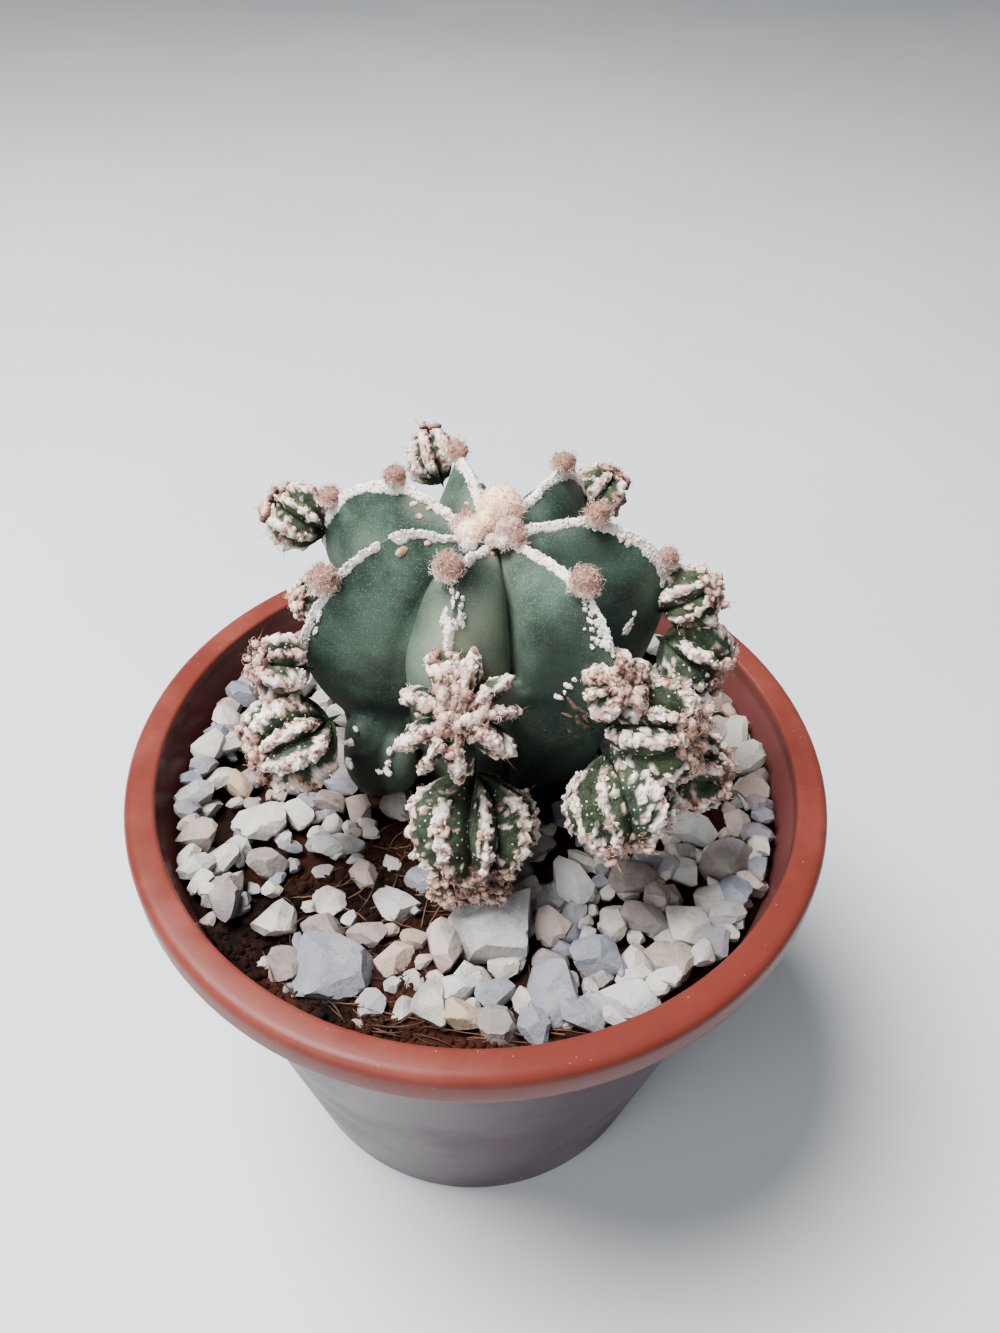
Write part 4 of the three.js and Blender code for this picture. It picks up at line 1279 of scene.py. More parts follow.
STEM = shade_stem(soften_creases(combined(stem_skin(), hump_meshes(), "UNION")))
piece("ribbed_stem", [painted(STEM, CACTUS_SKIN)], "stem")

# %% [markdown]
# ## Felt on the crests
# On this cultivar the white flock has gathered into a raised felt cord along every crest. The cord is a
# ragged strip that hugs the crest, grown over with tiny granules and short fuzz. On the front rib it breaks
# off under the areole and starts again as a fork, and on the next rib it crumbles into separate flecks.

# %% Felt and wool finishes
WOOL_STOPS = (
    (0.0, (226, 218, 210)), (0.2, (211, 191, 178)), (0.42, (190, 156, 141)), (0.68, (140, 101, 87)),
    (1.0, (48, 32, 27)),
)
YOUNG_WOOL_STOPS = ((0.0, (255, 246, 230)), (0.5, (255, 230, 200)), (1.0, (238, 192, 160)))


def felt():
    finish = Finish("white_felt", 0.95, Specular_IOR_Level=0.2, Sheen_Weight=0.25, Sheen_Roughness=0.5)
    # Painted shade in small dark pits of the felt
    painted_pit_shade = finish.mask(SPECKLE, Scale=2600, Dot=0.26, Share=0.3)
    warm = finish.mix(finish.mask(MOTTLE, Scale=700, Low=0.35, High=0.62), (202, 187, 178), (238, 231, 224))
    finish.colour(finish.over(warm, painted_pit_shade, 0.5, (150, 124, 110)))
    finish.bump(2400, 6, 0.16, 0.9, rough=0.75)
    return finish.material


def woolly(finish, stops):
    """Wool colour, read off a scale by the rust number, which also carries painted shade, with fine streaks
    from hair to hair.
    """
    streak = finish.math("MULTIPLY", finish.math("SUBTRACT", finish.noise(2200, 4, 0.75), 0.5), 0.9)
    return finish.ramp(finish.math("ADD", finish.kept("rust"), streak), stops)


def wool(name, stops):
    finish = Finish(name, 0.92, Specular_IOR_Level=0.15, Sheen_Weight=0.25, Sheen_Roughness=0.4)
    finish.colour(woolly(finish, stops))
    finish.bump(2600, 5, 0.16, 0.8, rough=0.75)
    return finish.material


FELT = felt()
AREOLE_WOOL, YOUNG_WOOL = wool("areole_wool", WOOL_STOPS), wool("young_wool", YOUNG_WOOL_STOPS)

# %% [markdown]
# Felt and wool are too fine to place by hand. A few small things, repeated by the scatter tree, stand for
# them: grains and crumbs for felt, curls for wool, and nearly straight hairs for fuzz and spines.

# %% Small things to scatter
def grain_mesh(seed):
    """A felt granule, about 1 mm across before it is scaled. Eight faces are enough for a speck."""
    way = np.array([(1, 0, 0), (0, 1, 0), (-1, 0, 0), (0, -1, 0), (0, 0, 1), (0, 0, -1)], float)
    faces = [(i, (i + 1) % 4, 4) for i in range(4)] + [((i + 1) % 4, i, 5) for i in range(4)]
    return mesh_from("grain", way * (0.55 + 0.16 * noise(way, 0.9, seed))[:, None] * [1, 0.8, 0.65], faces)


def crumb_mesh(seed):
    """A knobbly crumb of felt, about 1 mm across before it is scaled."""
    way, faces = low_ball()
    reach = 0.5 * (1 + 0.5 * noise(way, 0.75, seed) + 0.2 * noise(way, 0.35, seed + 1))
    return mesh_from("crumb", way * reach[:, None] * np.array([1, 0.8, 0.8]), faces)


def tube(path, radii, sides=3):
    """A thin closed tube along a path, ending in a point."""
    path = np.asarray(path, float)
    tangent = unit(np.gradient(path, axis=0))
    first = unit(np.cross(tangent, [0.31, 0.95, 0.05]))
    second = np.cross(tangent, first)
    angle = whole_turn(sides)
    ring = first[:, None] * np.cos(angle)[:, None] + second[:, None] * np.sin(angle)[:, None]
    rows = path[:-1, None] + ring[:-1] * np.asarray(radii, float)[:-1, None, None]
    return with_poles(path[0], rows, path[-1]), ring_faces(len(path) - 1, sides)[:, ::-1]


def curl_mesh(seed):
    """One curled hair of wool that springs up and bends back, about 1 mm long."""
    draw = Draws(seed)
    t = np.linspace(0, 1, 4)
    phase, sway = 2 * math.pi * draw.one(), 0.1 + 0.14 * draw.one()
    x = (0.45 + 0.2 * draw.one()) * t**1.2
    y = sway * (np.sin(4.5 * t + phase) - math.sin(phase))
    z = (0.3 + 0.3 * draw.one()) * np.sin(2.5 * t) - 0.05
    points, faces = tube(np.stack([x, y, z], -1), [0.034, 0.033, 0.027, 0])
    return mesh_from("curl", points, faces)


def hair_mesh(radius, bend):
    """A hair or spine, 1 mm long before it is scaled."""
    points, faces = tube([(0, 0, -0.2), (0.1 * bend, 0, 0.35), (bend, 0, 1)], [radius, 0.85 * radius, 0])
    return mesh_from("hair", points, faces)


GRAINS = things("grains", [grain_mesh(s) for s in (1, 2, 3, 4)])
CRUMBS = things("felt_crumbs", [crumb_mesh(s) for s in (15, 25, 35, 45)])
CURLS = things("curls", [curl_mesh(s) for s in (101, 202, 303, 404, 505, 606)])
FUZZ = things("fuzz", [hair_mesh(0.045, 0.12), hair_mesh(0.04, 0.4)])
SPINES = things("spines", [hair_mesh(0.03, 0.05), hair_mesh(0.026, 0.25)])

# %% [markdown]
# Felt also gathers in lumps. One helper makes many uneven balls at once, each with its own place, lie, size
# and colour number. It serves the patches, the tufts and the knobs of the young heads.

# %% Lumps of felt and wool
def lumps(name, centres, frames, sizes, rust, seed, detail=2, rough=0.6, under=0.0):
    """Uneven little balls as one mesh, each with its own place, lie, half sizes and colour number. Their
    lower sides can get painted shade, as a higher colour number."""
    way, faces = ball(detail)
    steps = np.arange(len(centres))[:, None, None]
    own = way[None] + steps * 3.7
    reach = 1 + rough * noise(own, 0.8, seed) + 0.45 * rough * noise(own, 0.36, seed)
    local = way[None] * reach[..., None] * np.asarray(sizes, float)[:, None, :]
    points = np.einsum("kvi,kij->kvj", local, frames) + np.asarray(centres)[:, None]
    colour = np.asarray(rust, float)[:, None] + 0.26 * noise(own, 0.6, seed + 1)
    # Painted shade: the lower side of each lump gets a higher colour number, which reads darker
    colour = colour + under * smooth(0.25, -0.5, way[:, 2])
    flat = np.clip(colour, 0, 1).ravel()
    all_faces = (faces[None] + steps * len(way)).reshape(-1, 3)
    return mesh_from(name, points.reshape(-1, 3), all_faces, {"rust": flat, "cover": flat, "tone": flat})


# %% [markdown]
# The cord could be a tube, but a tube lies badly on a sharp crest. Rows of points read off the skin itself
# make a strip that fits it closely, and noise frays the strip's two edges.

# %% The felt cord
FELT_START, FELT_ENDS = 0.35, [3.4, 3.35, 3.6, 3.55, 3.6, 4.0, 3.95]
FELT_HALF_WIDTH, FELT_HEIGHT, FELT_ROWS = 1.12, 0.4, 200
FELT_ACROSS = np.array([-1, -0.86, -0.62, -0.32, 0, 0.32, 0.62, 0.86, 1])
FELT_COVER = [0.6, 0.9, 1, 1, 1, 1, 1, 0.9, 0.6, 0, 0]


def felt_width(rib, down):
    """The share of the full width that the cord has at each place down a rib."""
    share = 1 + 0.12 * np.sin(5 * down + 2 * rib)
    if rib == 0:
        band = smooth(2.96, 3.06, down) * (1.0 - 0.36 * smooth(3.12, 3.36, down))
        return np.maximum(np.where(down < 2.0, 0.8, 0.0), band)
    if rib == 1:
        crumbled = smooth(-0.35, 0.05, noise(np.stack([down * 3, down * 0, down * 0], -1), 0.4, 6))
        return np.where(down < 2.2, 0.95, 0.24 + 0.36 * crumbled)
    if rib == 6:
        gap = 1 - 0.92 * smooth(2.08, 2.14, down) * (1 - smooth(2.26, 2.34, down))
        return share * gap * (0.85 + 0.35 * smooth(1.8, 2.0, down) - 0.6 * smooth(2.2, 2.5, down))
    if rib in (4, 5):
        return share * (1.2 - 0.35 * smooth(2.0, 3.0, down))
    return share


def felt_cord(rib):
    """A ragged strip along one crest: rows of points across it, and two more that close it underneath."""
    down = np.linspace(FELT_START, FELT_ENDS[rib], FELT_ROWS)
    centre, way = outwards(rib, down)
    rows = []
    for side in (-1, 1):
        per_rib = np.linalg.norm(rib_point(rib + 0.01 * side, down) - centre, axis=-1) / 0.01
        ragged = 1 + 0.24 * noise(centre, 1.5, 21 + side) + 0.22 * noise(centre, 0.5, 24 + side)
        width = FELT_HALF_WIDTH * felt_width(rib, down) * (ragged + 0.14 * noise(centre, 0.22, 27 + side))
        live = smooth(0.06, 0.2, width)
        for u in FELT_ACROSS[FELT_ACROSS <= 0] if side < 0 else FELT_ACROSS[FELT_ACROSS > 0]:
            skin = rib_point(rib + u * width / per_rib, down)
            height = FELT_HEIGHT * math.sqrt(max(0, 1 - u * u)) * (0.75 + 0.4 * noise(skin, 0.7, 24))
            height = height + 0.09 * noise(skin, 0.28, 25)
            rows.append(skin + way * (0.03 + height * live - 0.3 * (1 - live))[:, None])
    for u in (0.5, -0.5):
        rows.append(rib_point(rib + u * width / per_rib, down) - way * 0.5)
    grid = np.stack(rows, 1)
    cover = with_poles(0, np.array(FELT_COVER) * smooth(0.08, 0.22, width)[:, None], 0)
    points = with_poles(grid[0].mean(0), grid, grid[-1].mean(0))
    return mesh_from("felt_cord", points, ring_faces(FELT_ROWS, len(rows)), {"cover": cover})


# %% [markdown]
# Patches are flat lumps laid on the skin, each by its place, its size and its turn. The skin's rule also
# tells which way is out, so a patch always lies flat on it.

# %% Patches on the skin
def skin_frames(around, down, turns):
    """Places on the skin, each with the ways along, across and out of the skin."""
    centre, out = outwards(around, down)
    along_rib = unit(rib_point(around, down + 0.02) - rib_point(around, down - 0.02))
    across = np.cross(out, along_rib)
    turns = np.radians(turns)[:, None]
    first = along_rib * np.cos(turns) + across * np.sin(turns)
    return centre, np.stack([first, np.cross(out, first), out], 1)


def patches(name, rows, height, seed, rough=0.24):
    """Flat raised patches: (around, down, length, width, turn in degrees)."""
    rows = np.array(rows, float)
    centre, frames = skin_frames(rows[:, 0], rows[:, 1], rows[:, 4])
    sizes = np.stack([rows[:, 2] / 2, rows[:, 3] / 2, np.full(len(rows), height)], 1)
    return lumps(name, centre, frames, sizes, np.zeros(len(rows)), seed, 3, rough)


# %% [markdown]
# White patches make the fork on the front rib, the flecks beside the next crest and odd tufts. Brown ones
# are dry scars, and dark ones are the husks of a flower low on the right.

# %% Where the patches lie
FELT_PATCHES = [
    (-0.044, 2.9, 2.0, 0.7, -12), (0.06, 2.9, 2.0, 0.7, 14), (-0.022, 3.0, 1.3, 0.8, -24),
    (0.03, 3.0, 1.3, 0.8, 24), (-0.05, 2.84, 0.8, 0.6, -8), (0.07, 2.83, 0.8, 0.6, 8),
    (-0.009, 2.68, 0.9, 0.28, 6), (0.012, 2.6, 0.9, 0.3, -8), (0.002, 2.76, 0.9, 0.26, 4),
    (-0.026, 2.52, 0.7, 0.4, 0), (0.05, 2.7, 0.5, 0.45, 20), (0.046, 2.58, 0.6, 0.4, 0),
    (0.97, 2.42, 0.6, 0.4, 10), (0.96, 2.52, 0.6, 0.4, 10), (0.972, 2.62, 0.6, 0.5, -20),
    (0.955, 2.72, 0.7, 0.4, 30), (0.975, 2.8, 0.8, 0.5, -10), (0.95, 2.86, 0.5, 0.4, 20),
    (0.975, 2.94, 0.9, 0.5, 0), (0.94, 2.98, 0.5, 0.35, 60), (0.955, 3.06, 0.8, 0.5, 0),
    (0.93, 3.1, 0.5, 0.3, 0), (0.975, 3.12, 0.9, 0.7, 15), (0.99, 3.2, 1.3, 0.9, 0),
    (0.92, 2.8, 0.35, 0.3, 0), (1.715, 3.62, 1.9, 0.8, -40), (1.76, 3.5, 0.7, 0.5, -40),
    (1.69, 3.68, 0.8, 0.5, -30), (0.795, 3.57, 0.9, 0.5, 50), (0.75, 3.72, 1.0, 0.6, 60),
    (0.83, 3.5, 0.5, 0.35, 10), (0.78, 3.66, 0.4, 0.3, 10), (5.96, 2.02, 1.5, 1.2, 10),
    (5.95, 1.92, 1.2, 0.9, 0), (6.03, 3.45, 1.4, 0.5, 5), (6.0, 3.6, 1.6, 0.45, 0),
    (6.04, 3.62, 1.0, 0.4, 0), (1.96, 2.42, 1.2, 1.0, 0), (1.95, 2.55, 0.8, 0.7, 30),
    (4.0, 1.5, 1.6, 1.3, 0), (4.02, 1.2, 1.3, 1.2, 30), (5.02, 1.5, 1.3, 1.2, 0), (5.0, 1.2, 1.2, 1.1, 0),
]
SCAR_PATCHES = [
    (5.12, 1.80, 0.9, 0.65, 40), (5.22, 1.75, 0.9, 0.7, 0), (4.24, 1.45, 1.0, 0.5, 20),
    (6.13, 1.56, 0.8, 0.6, 0), (0.24, 0.77, 1.0, 0.65, -30), (5.10, 1.53, 0.7, 0.5, 80),
    (6.13, 2.09, 1.5, 1.0, 10), (4.3, 1.2, 0.6, 0.5, 0),
]
HUSK_PATCHES = [
    (0.825, 3.89, 2.4, 0.6, 35), (0.87, 4.02, 2.6, 0.55, 55), (0.86, 4.16, 2.2, 0.7, 20),
    (0.81, 4.05, 1.8, 0.5, 70), (0.84, 4.3, 2.2, 0.5, 45), (0.9, 3.95, 1.5, 0.5, 10),
    (0.885, 4.1, 2.2, 0.4, 30), (0.9, 4.25, 2.0, 0.6, 60), (0.92, 4.12, 1.6, 0.6, 80),
]


def dry_matter(name, deep, light):
    finish = Finish(name, roughness=0.8)
    finish.colour(finish.mix(finish.mask(MOTTLE, Scale=900, Low=0.36, High=0.62), deep, light))
    finish.bump(1800, 5, 0.12, 0.7)
    return finish.material


# Tufts on the low swellings, as x, y, z, width and height
LOW_TUFTS = [
    (-15.6, -6.6, 74.9, 1.0, 0.9), (-15.1, -6.9, 75.2, 0.8, 0.6), (-15.6, -7.0, 71.4, 1.5, 0.9),
    (-10.5, -7.3, 74.2, 0.7, 1.3), (-10.7, -7.9, 72.8, 0.7, 0.7), (-10.9, -8.1, 71.5, 1.4, 0.9),
    (-11.8, -8.0, 71.2, 0.7, 0.5), (-14.6, -6.1, 76.7, 0.8, 0.5),
]


def low_tufts():
    """White tufts on the low swellings, which face away from a point inside the stem's foot."""
    x, y, z, wide, tall = np.array(LOW_TUFTS).T
    centre = np.stack([x, y, z], 1)
    out = unit(centre - np.array([*PLANT, 66]))
    across = unit(np.cross([0, 0, 1], out))
    frames = np.stack([across, np.cross(out, across), out], 1)
    sizes = np.stack([wide / 2, tall / 2, np.full(len(x), 0.28)], 1)
    return lumps("low_tufts", centre, frames, sizes, np.zeros(len(x)), 17)


CORD_GRAINS, CORD_FUZZ, PATCH_GRAINS = 5.6, 1.6, 12


def felt_meshes():
    """Every cord and patch with its grains and fuzz, and the bare scars and husks."""
    meshes = []
    for rib in range(RIB_COUNT):
        cord = painted(felt_cord(rib), FELT)
        meshes.append(scatter(cord, GRAINS, CORD_GRAINS, (0.16, 0.52), 60, 31 + rib, FELT))
        meshes.append(scatter(cord, FUZZ, CORD_FUZZ, (0.2, 0.5), 65, 51 + rib, FELT))
        meshes.append(cord)
    for marks in (patches("felt_marks", FELT_PATCHES, 0.24, 5, rough=0.5), low_tufts()):
        keep_numbers(painted(marks, FELT), "cover", np.ones(len(marks.vertices)))
        meshes.append(scatter(marks, GRAINS, PATCH_GRAINS, (0.16, 0.44), 60, 71, FELT))
        meshes.append(marks)
    scar = dry_matter("dry_scar", (112, 78, 56), (206, 168, 134))
    husk = dry_matter("dry_husk", (18, 14, 13), (118, 92, 70))
    meshes.append(painted(patches("scars", SCAR_PATCHES, 0.16, 9), scar))
    meshes.append(painted(patches("husks", HUSK_PATCHES, 0.2, 9), husk))
    return meshes


# %% [markdown]
# ## Areole wool
# Each areole of an old bishop's cap carries a ball of curled wool, rusty pink on top where the light and
# water reach it and grey-white below. A ball is a soft core with a few hundred curls on it. The crown's own
# tuft is young wool, so it is cream, with small balls of areole wool round it.

# %% Balls of wool
# Areoles as place round the plant, place down the rib and radius
AREOLES = [
    (6.955, 2.15, 1.95), (1, 2.18, 1.95), (1, 0.85, 1.2), (2, 1.95, 1.75), (2, 3.2, 1.5), (3, 2.1, 1.75),
    (5, 2.05, 1.6), (5, 3.25, 1.6), (5, 0.8, 1.2), (6, 3.05, 2.05), (4, 2.75, 1.5),
]
# The crown's wool as centre, size, and its colour numbers under and over
CROWN_WOOL = [
    ((2.0, 5.5, 101.2), (2.9, 2.5, 3.0), 0.45, 0.7), ((-1.2, 2.2, 100.2), (1.8, 1.7, 1.6), 0.1, 0.6),
    ((0.5, 3.8, 100.6), (1.5, 1.5, 1.5), 0.2, 0.6),
]
CROWN_TUFTS = [
    ((2.9, 2.9, 100.3), 1.75, 0.1, 0.36), ((-1.3, 0.6, 99.7), 1.05, 0.0, 0.06),
    ((1.3, 1.4, 99.7), 1.0, 0.05, 0.2), ((-2.6, 3.9, 99.9), 1.1, 0.2, 0.4),
    ((2.4, 0.7, 99.9), 0.9, 0.0, 0.1),
]


def wool_core(at, radii, seed):
    """The soft middle of a ball of wool. Hairs grow on all of it but its foot."""
    way, faces = ball(3)
    reach = 0.86 * (1 + 0.12 * noise(way, 0.5, seed) + 0.07 * noise(way, 0.2, seed))
    core = way * reach[:, None] * np.asarray(radii) + np.asarray(at)
    cover = 0.35 + 0.65 * smooth(-0.95, -0.2, way[:, 2])
    return mesh_from("core", core, faces, {"cover": cover, "tone": np.full(len(core), 0.5)})


def tint_wool(mesh, at, radius, under, over, spread):
    """Keeps the wool's colour number: under the ball, over it, and each hair's own difference."""
    height = (points_of(mesh)[:, 2] - at[2]) / radius
    rust = under + (over - under) * smooth(-0.6, 0.4, height)
    keep_numbers(mesh, "rust", np.clip(rust + spread * (numbers_of(mesh, "tone") - 0.5), 0, 1))
    return mesh


def wool_ball(at, radii, under, over, seed, material, per_mm2, size=(0.55, 1.3), spread=0.7):
    """The core and the curls of one ball of wool. The core is painted a little darker than its hairs, as
    painted shade under them.
    """
    radius, core = float(np.mean(radii)), wool_core(at, radii, seed)
    curls = scatter(core, CURLS, per_mm2, size, 50, seed, material)
    wisps = scatter(core, FUZZ, 1.1, (0.5, 1.2), 60, seed + 1, material)
    # The core's colour numbers are raised as painted shade under the hairs
    return [tint_wool(painted(core, material), at, radius, under + 0.12, over + 0.16, 0)] + [
        tint_wool(hairs, at, radius, under, over, spread) for hairs in (curls, wisps)
    ]


AREOLE_UNDER, AREOLE_OVER, AREOLE_RISE, AREOLE_SIZE = 0.03, 0.56, 0.55, 0.97
FRONT_CURLS, BACK_CURLS, CROWN_CURLS = 10.5, 6, 10


def areole_meshes():
    """The ball of every areole, partly sunk in its crest, and the wool of the crown."""
    meshes = []
    for n, (rib, down, radius) in enumerate(AREOLES):
        skin, way = outwards(rib, down)
        at, sizes = skin + way * radius * AREOLE_RISE, [radius * AREOLE_SIZE] * 3
        per_mm2 = FRONT_CURLS if at[1] < PLANT[1] else BACK_CURLS
        meshes += wool_ball(at, sizes, AREOLE_UNDER, AREOLE_OVER, 60 + n, AREOLE_WOOL, per_mm2)
    for n, (at, radii, under, over) in enumerate(CROWN_WOOL):
        meshes += wool_ball(at, radii, under, over, 90 + n, YOUNG_WOOL, CROWN_CURLS, (0.6, 1.2), 0.4)
    for n, (at, radius, under, over) in enumerate(CROWN_TUFTS):
        sizes = [radius] * 3
        meshes += wool_ball(at, sizes, under, over, 100 + n, AREOLE_WOOL, CROWN_CURLS, (0.6, 1.0), 0.4)
    return meshes


piece("crest_felt", felt_meshes(), "crest_felt_and_wool")
piece("areole_and_crown_wool", areole_meshes(), "crest_felt_and_wool")

# %% [markdown]
# ## Young heads
# The offsets are small copies of the mother plant, but so woolly that only the sides of their ribs show
# green. Each is a little globe of deep ribs whose crests are crusted with lumps of felt, white or rusty
# pink. The skin itself puffs up where felt covers it, knobs sit at the areoles, and crumbs, granules,
# curls and a few fine spines are scattered on both, so that no lump has a clean outline.

# %% Head skin finish
def head_skin():
    """Green skin and felt in one material, mixed by the kept number felt and tinted by the rust number,
    which also carries painted shade.
    """
    finish = Finish("head_skin", roughness=0.75, Specular_IOR_Level=0.2)
    green = finish.mix(finish.mask(MOTTLE, Scale=420, Low=0.36, High=0.64), (20, 30, 22), (52, 62, 42))
    dots = finish.mask(SPECKLE, Scale=4100, Dot=0.24, Share=0.5)
    flecks = finish.mask(SPECKLE, Scale=1800, Dot=0.22, Share=0.3)
    dotted = finish.over(green, dots, 0.3, (140, 150, 120))
    flecked = finish.over(dotted, flecks, 0.75, (216, 208, 196))
    finish.colour(finish.mix(finish.kept("felt"), flecked, woolly(finish, WOOL_STOPS)))
    finish.bump(2200, 6, 0.16, 0.9, rough=0.75)
    return finish.material


def spine_horn():
    finish = Finish("spine_horn", roughness=0.5)
    finish.colour(finish.mix(finish.mask(MOTTLE, Scale=900), (84, 62, 40), (150, 122, 80)))
    return finish.material


HEAD_SKIN, SPINE = head_skin(), spine_horn()

# %% [markdown]
# Each head is one row of a table, and a class turns the row into a ribbed globe. A head draws its ribs and
# knobs from a seed of its own, so that editing one head never changes another.

# %% The heads and their lie
GROOVE_LEVEL, FLATNESS, FLANK_POWER, LARGE_OFFSET = 0.62, 0.92, 0.474, 5.5
DIMPLE, DIMPLE_WIDTH, NECK_REACH = 0.16, 0.45, 1.4
# Name, centre, way of the crown, radius, ribs, then how felted, how pink and how far apart its knobs are
HEADS = [
    ("front_upper", (-1.6, -14.6, 88.4), (-0.02, -0.72, 0.69), 7.2, 9, 0.6, 0.6, 1.5),
    ("front_lower", (0.4, -17.6, 73.4), (0.05, -0.66, -0.75), 8.1, 8, 0.42, 0.66, 1.4),
    ("right_front_small", (14.9, -12, 90.6), (0.35, -0.6, 0.72), 4, 7, 1.0, 0.85, 1.1),
    ("right_front_upper", (19.9, -12.4, 84.6), (0.85, -0.4, 0.33), 6.6, 8, 0.44, 0.6, 1.4),
    ("right_front_lower", (16.3, -17.2, 77.8), (0.25, -0.7, -0.67), 6.4, 8, 0.5, 0.5, 1.35),
    ("right_front_outer", (25.4, -12, 77.8), (0.93, -0.3, 0.1), 4.8, 7, 0.55, 0.85, 1.2),
    ("left_upper", (-22.4, -6.4, 87), (-0.85, -0.35, 0.4), 3.9, 6, 0.85, 0.9, 1.1),
    ("left_lower", (-21.2, -11, 80), (-0.85, -0.5, -0.15), 6, 8, 0.9, 0.7, 0.95),
    ("right_upper", (24.4, 3, 91), (0.8, -0.1, 0.6), 4.4, 7, 0.42, 0.75, 1.35),
    ("right_lower", (25.6, 0.2, 84.6), (0.9, -0.3, -0.3), 4.9, 7, 0.4, 0.6, 1.35),
    ("back_left_upper", (-22.9, 15.2, 92.6), (-0.85, 0.25, 0.45), 4.7, 7, 0.55, 0.8, 1.3),
    ("back_left_lower", (-20.6, 9.2, 84), (-0.85, -0.4, 0.3), 3.6, 5, 0.4, 0.5, 1.3),
    ("back_upper", (-6.6, 24, 96), (-0.3, 0.75, 0.6), 3.9, 7, 1.1, 0.7, 1.15),
    ("back_lower", (-3.4, 24.4, 83), (-0.15, 0.95, -0.2), 5.2, 7, 0.45, 0.5, 1.4),
    ("back_right_upper", (14.6, 19.4, 94.4), (0.6, 0.55, 0.58), 3.8, 6, 0.7, 0.8, 1.2),
    ("back_right_lower", (14.8, 20.6, 82.6), (0.6, 0.78, -0.2), 4.8, 7, 0.45, 0.5, 1.4),
]
STAR_SHAPE = {"front_upper": (0.46, 0.74, 0.6), "front_lower": (0.52, 0.92, 0.56)}
NOTCH, KNOB_START, KNOB_END, KNOB_SCATTER, RIB_SWAY = 0.12, 0.42, 2.2, 0.3, 0.1
KNOB_REACH, KNOB_MISSING, POLAR_STEPS = 0.42, 0.16, 90


class Head:
    """One young head: ribs whose crests carry knobs of felt."""

    def __init__(self, number, name, at, crown, radius, ribs, felted, pink, gap):
        self.at, self.radius, self.ribs = np.array(at), radius, ribs
        self.felted, self.pink, self.gap, self.seed = felted, pink, gap, 77 + 13 * number
        self.groove, self.flat, self.power = STAR_SHAPE.get(name, (GROOVE_LEVEL, FLATNESS, FLANK_POWER))
        crown_turn = Vector((0, 0, 1)).rotation_difference(Vector(crown).normalized())
        self.turn = np.array(crown_turn.to_matrix())
        draw = Draws(self.seed)
        # The solids draw two numbers for each rib, and only the first is its size
        self.sizes = np.array([(0.88 + 0.2 * draw.one(), draw.one())[0] for _ in range(ribs)])
        self.place_knobs(draw)

    def place_knobs(self, draw):
        """Draws where the knobs sit on each rib, and keeps how near each step down the rib is to one."""
        steps = np.linspace(0, np.pi, POLAR_STEPS)
        self.knobs, self.near = [], np.zeros((self.ribs, POLAR_STEPS))
        for rib in range(self.ribs):
            polar = KNOB_START + 0.2 * draw.one()
            while polar < KNOB_END:
                if draw.one() > KNOB_MISSING:
                    self.knobs.append((rib, polar))
                    close = np.exp(-(((steps - polar) * self.radius / (KNOB_REACH * self.gap)) ** 2))
                    self.near[rib] = np.maximum(self.near[rib], close)
                polar += self.gap / self.radius * (0.6 + 0.9 * draw.one())

    def surface(self, position, polar):
        """Points of the skin in the head's own lie: position counts ribs, polar grows from the crown."""
        position, polar = np.broadcast_arrays(position, polar)
        which = np.round(position).astype(int) % self.ribs
        share = np.abs(1 - 2 * (position % 1))
        dimple = 1 - DIMPLE * np.exp(-((polar / DIMPLE_WIDTH) ** 2))
        height = (self.groove + (1 - self.groove) * share**self.power) * self.sizes[which]
        near = self.near[which, (polar / np.pi * (POLAR_STEPS - 1)).astype(int)]
        reach = self.radius * dimple * (height - NOTCH * share**3 * (1 - near))
        angle = 2 * np.pi * position / self.ribs
        angle = angle + RIB_SWAY * (np.sin(2 * angle + self.seed) + 0.8 * np.sin(3 * angle + 2 * self.seed))
        return around_axis(reach * np.sin(polar), angle, reach * self.flat * np.cos(polar))

    def placed(self, points):
        return points @ self.turn.T + self.at


# %% [markdown]
# A head's skin is rows and columns read off a rule, as the stem's is. Where felt covers it, the surface
# itself is puffed up, so that the felt has a thickness and not only a colour.

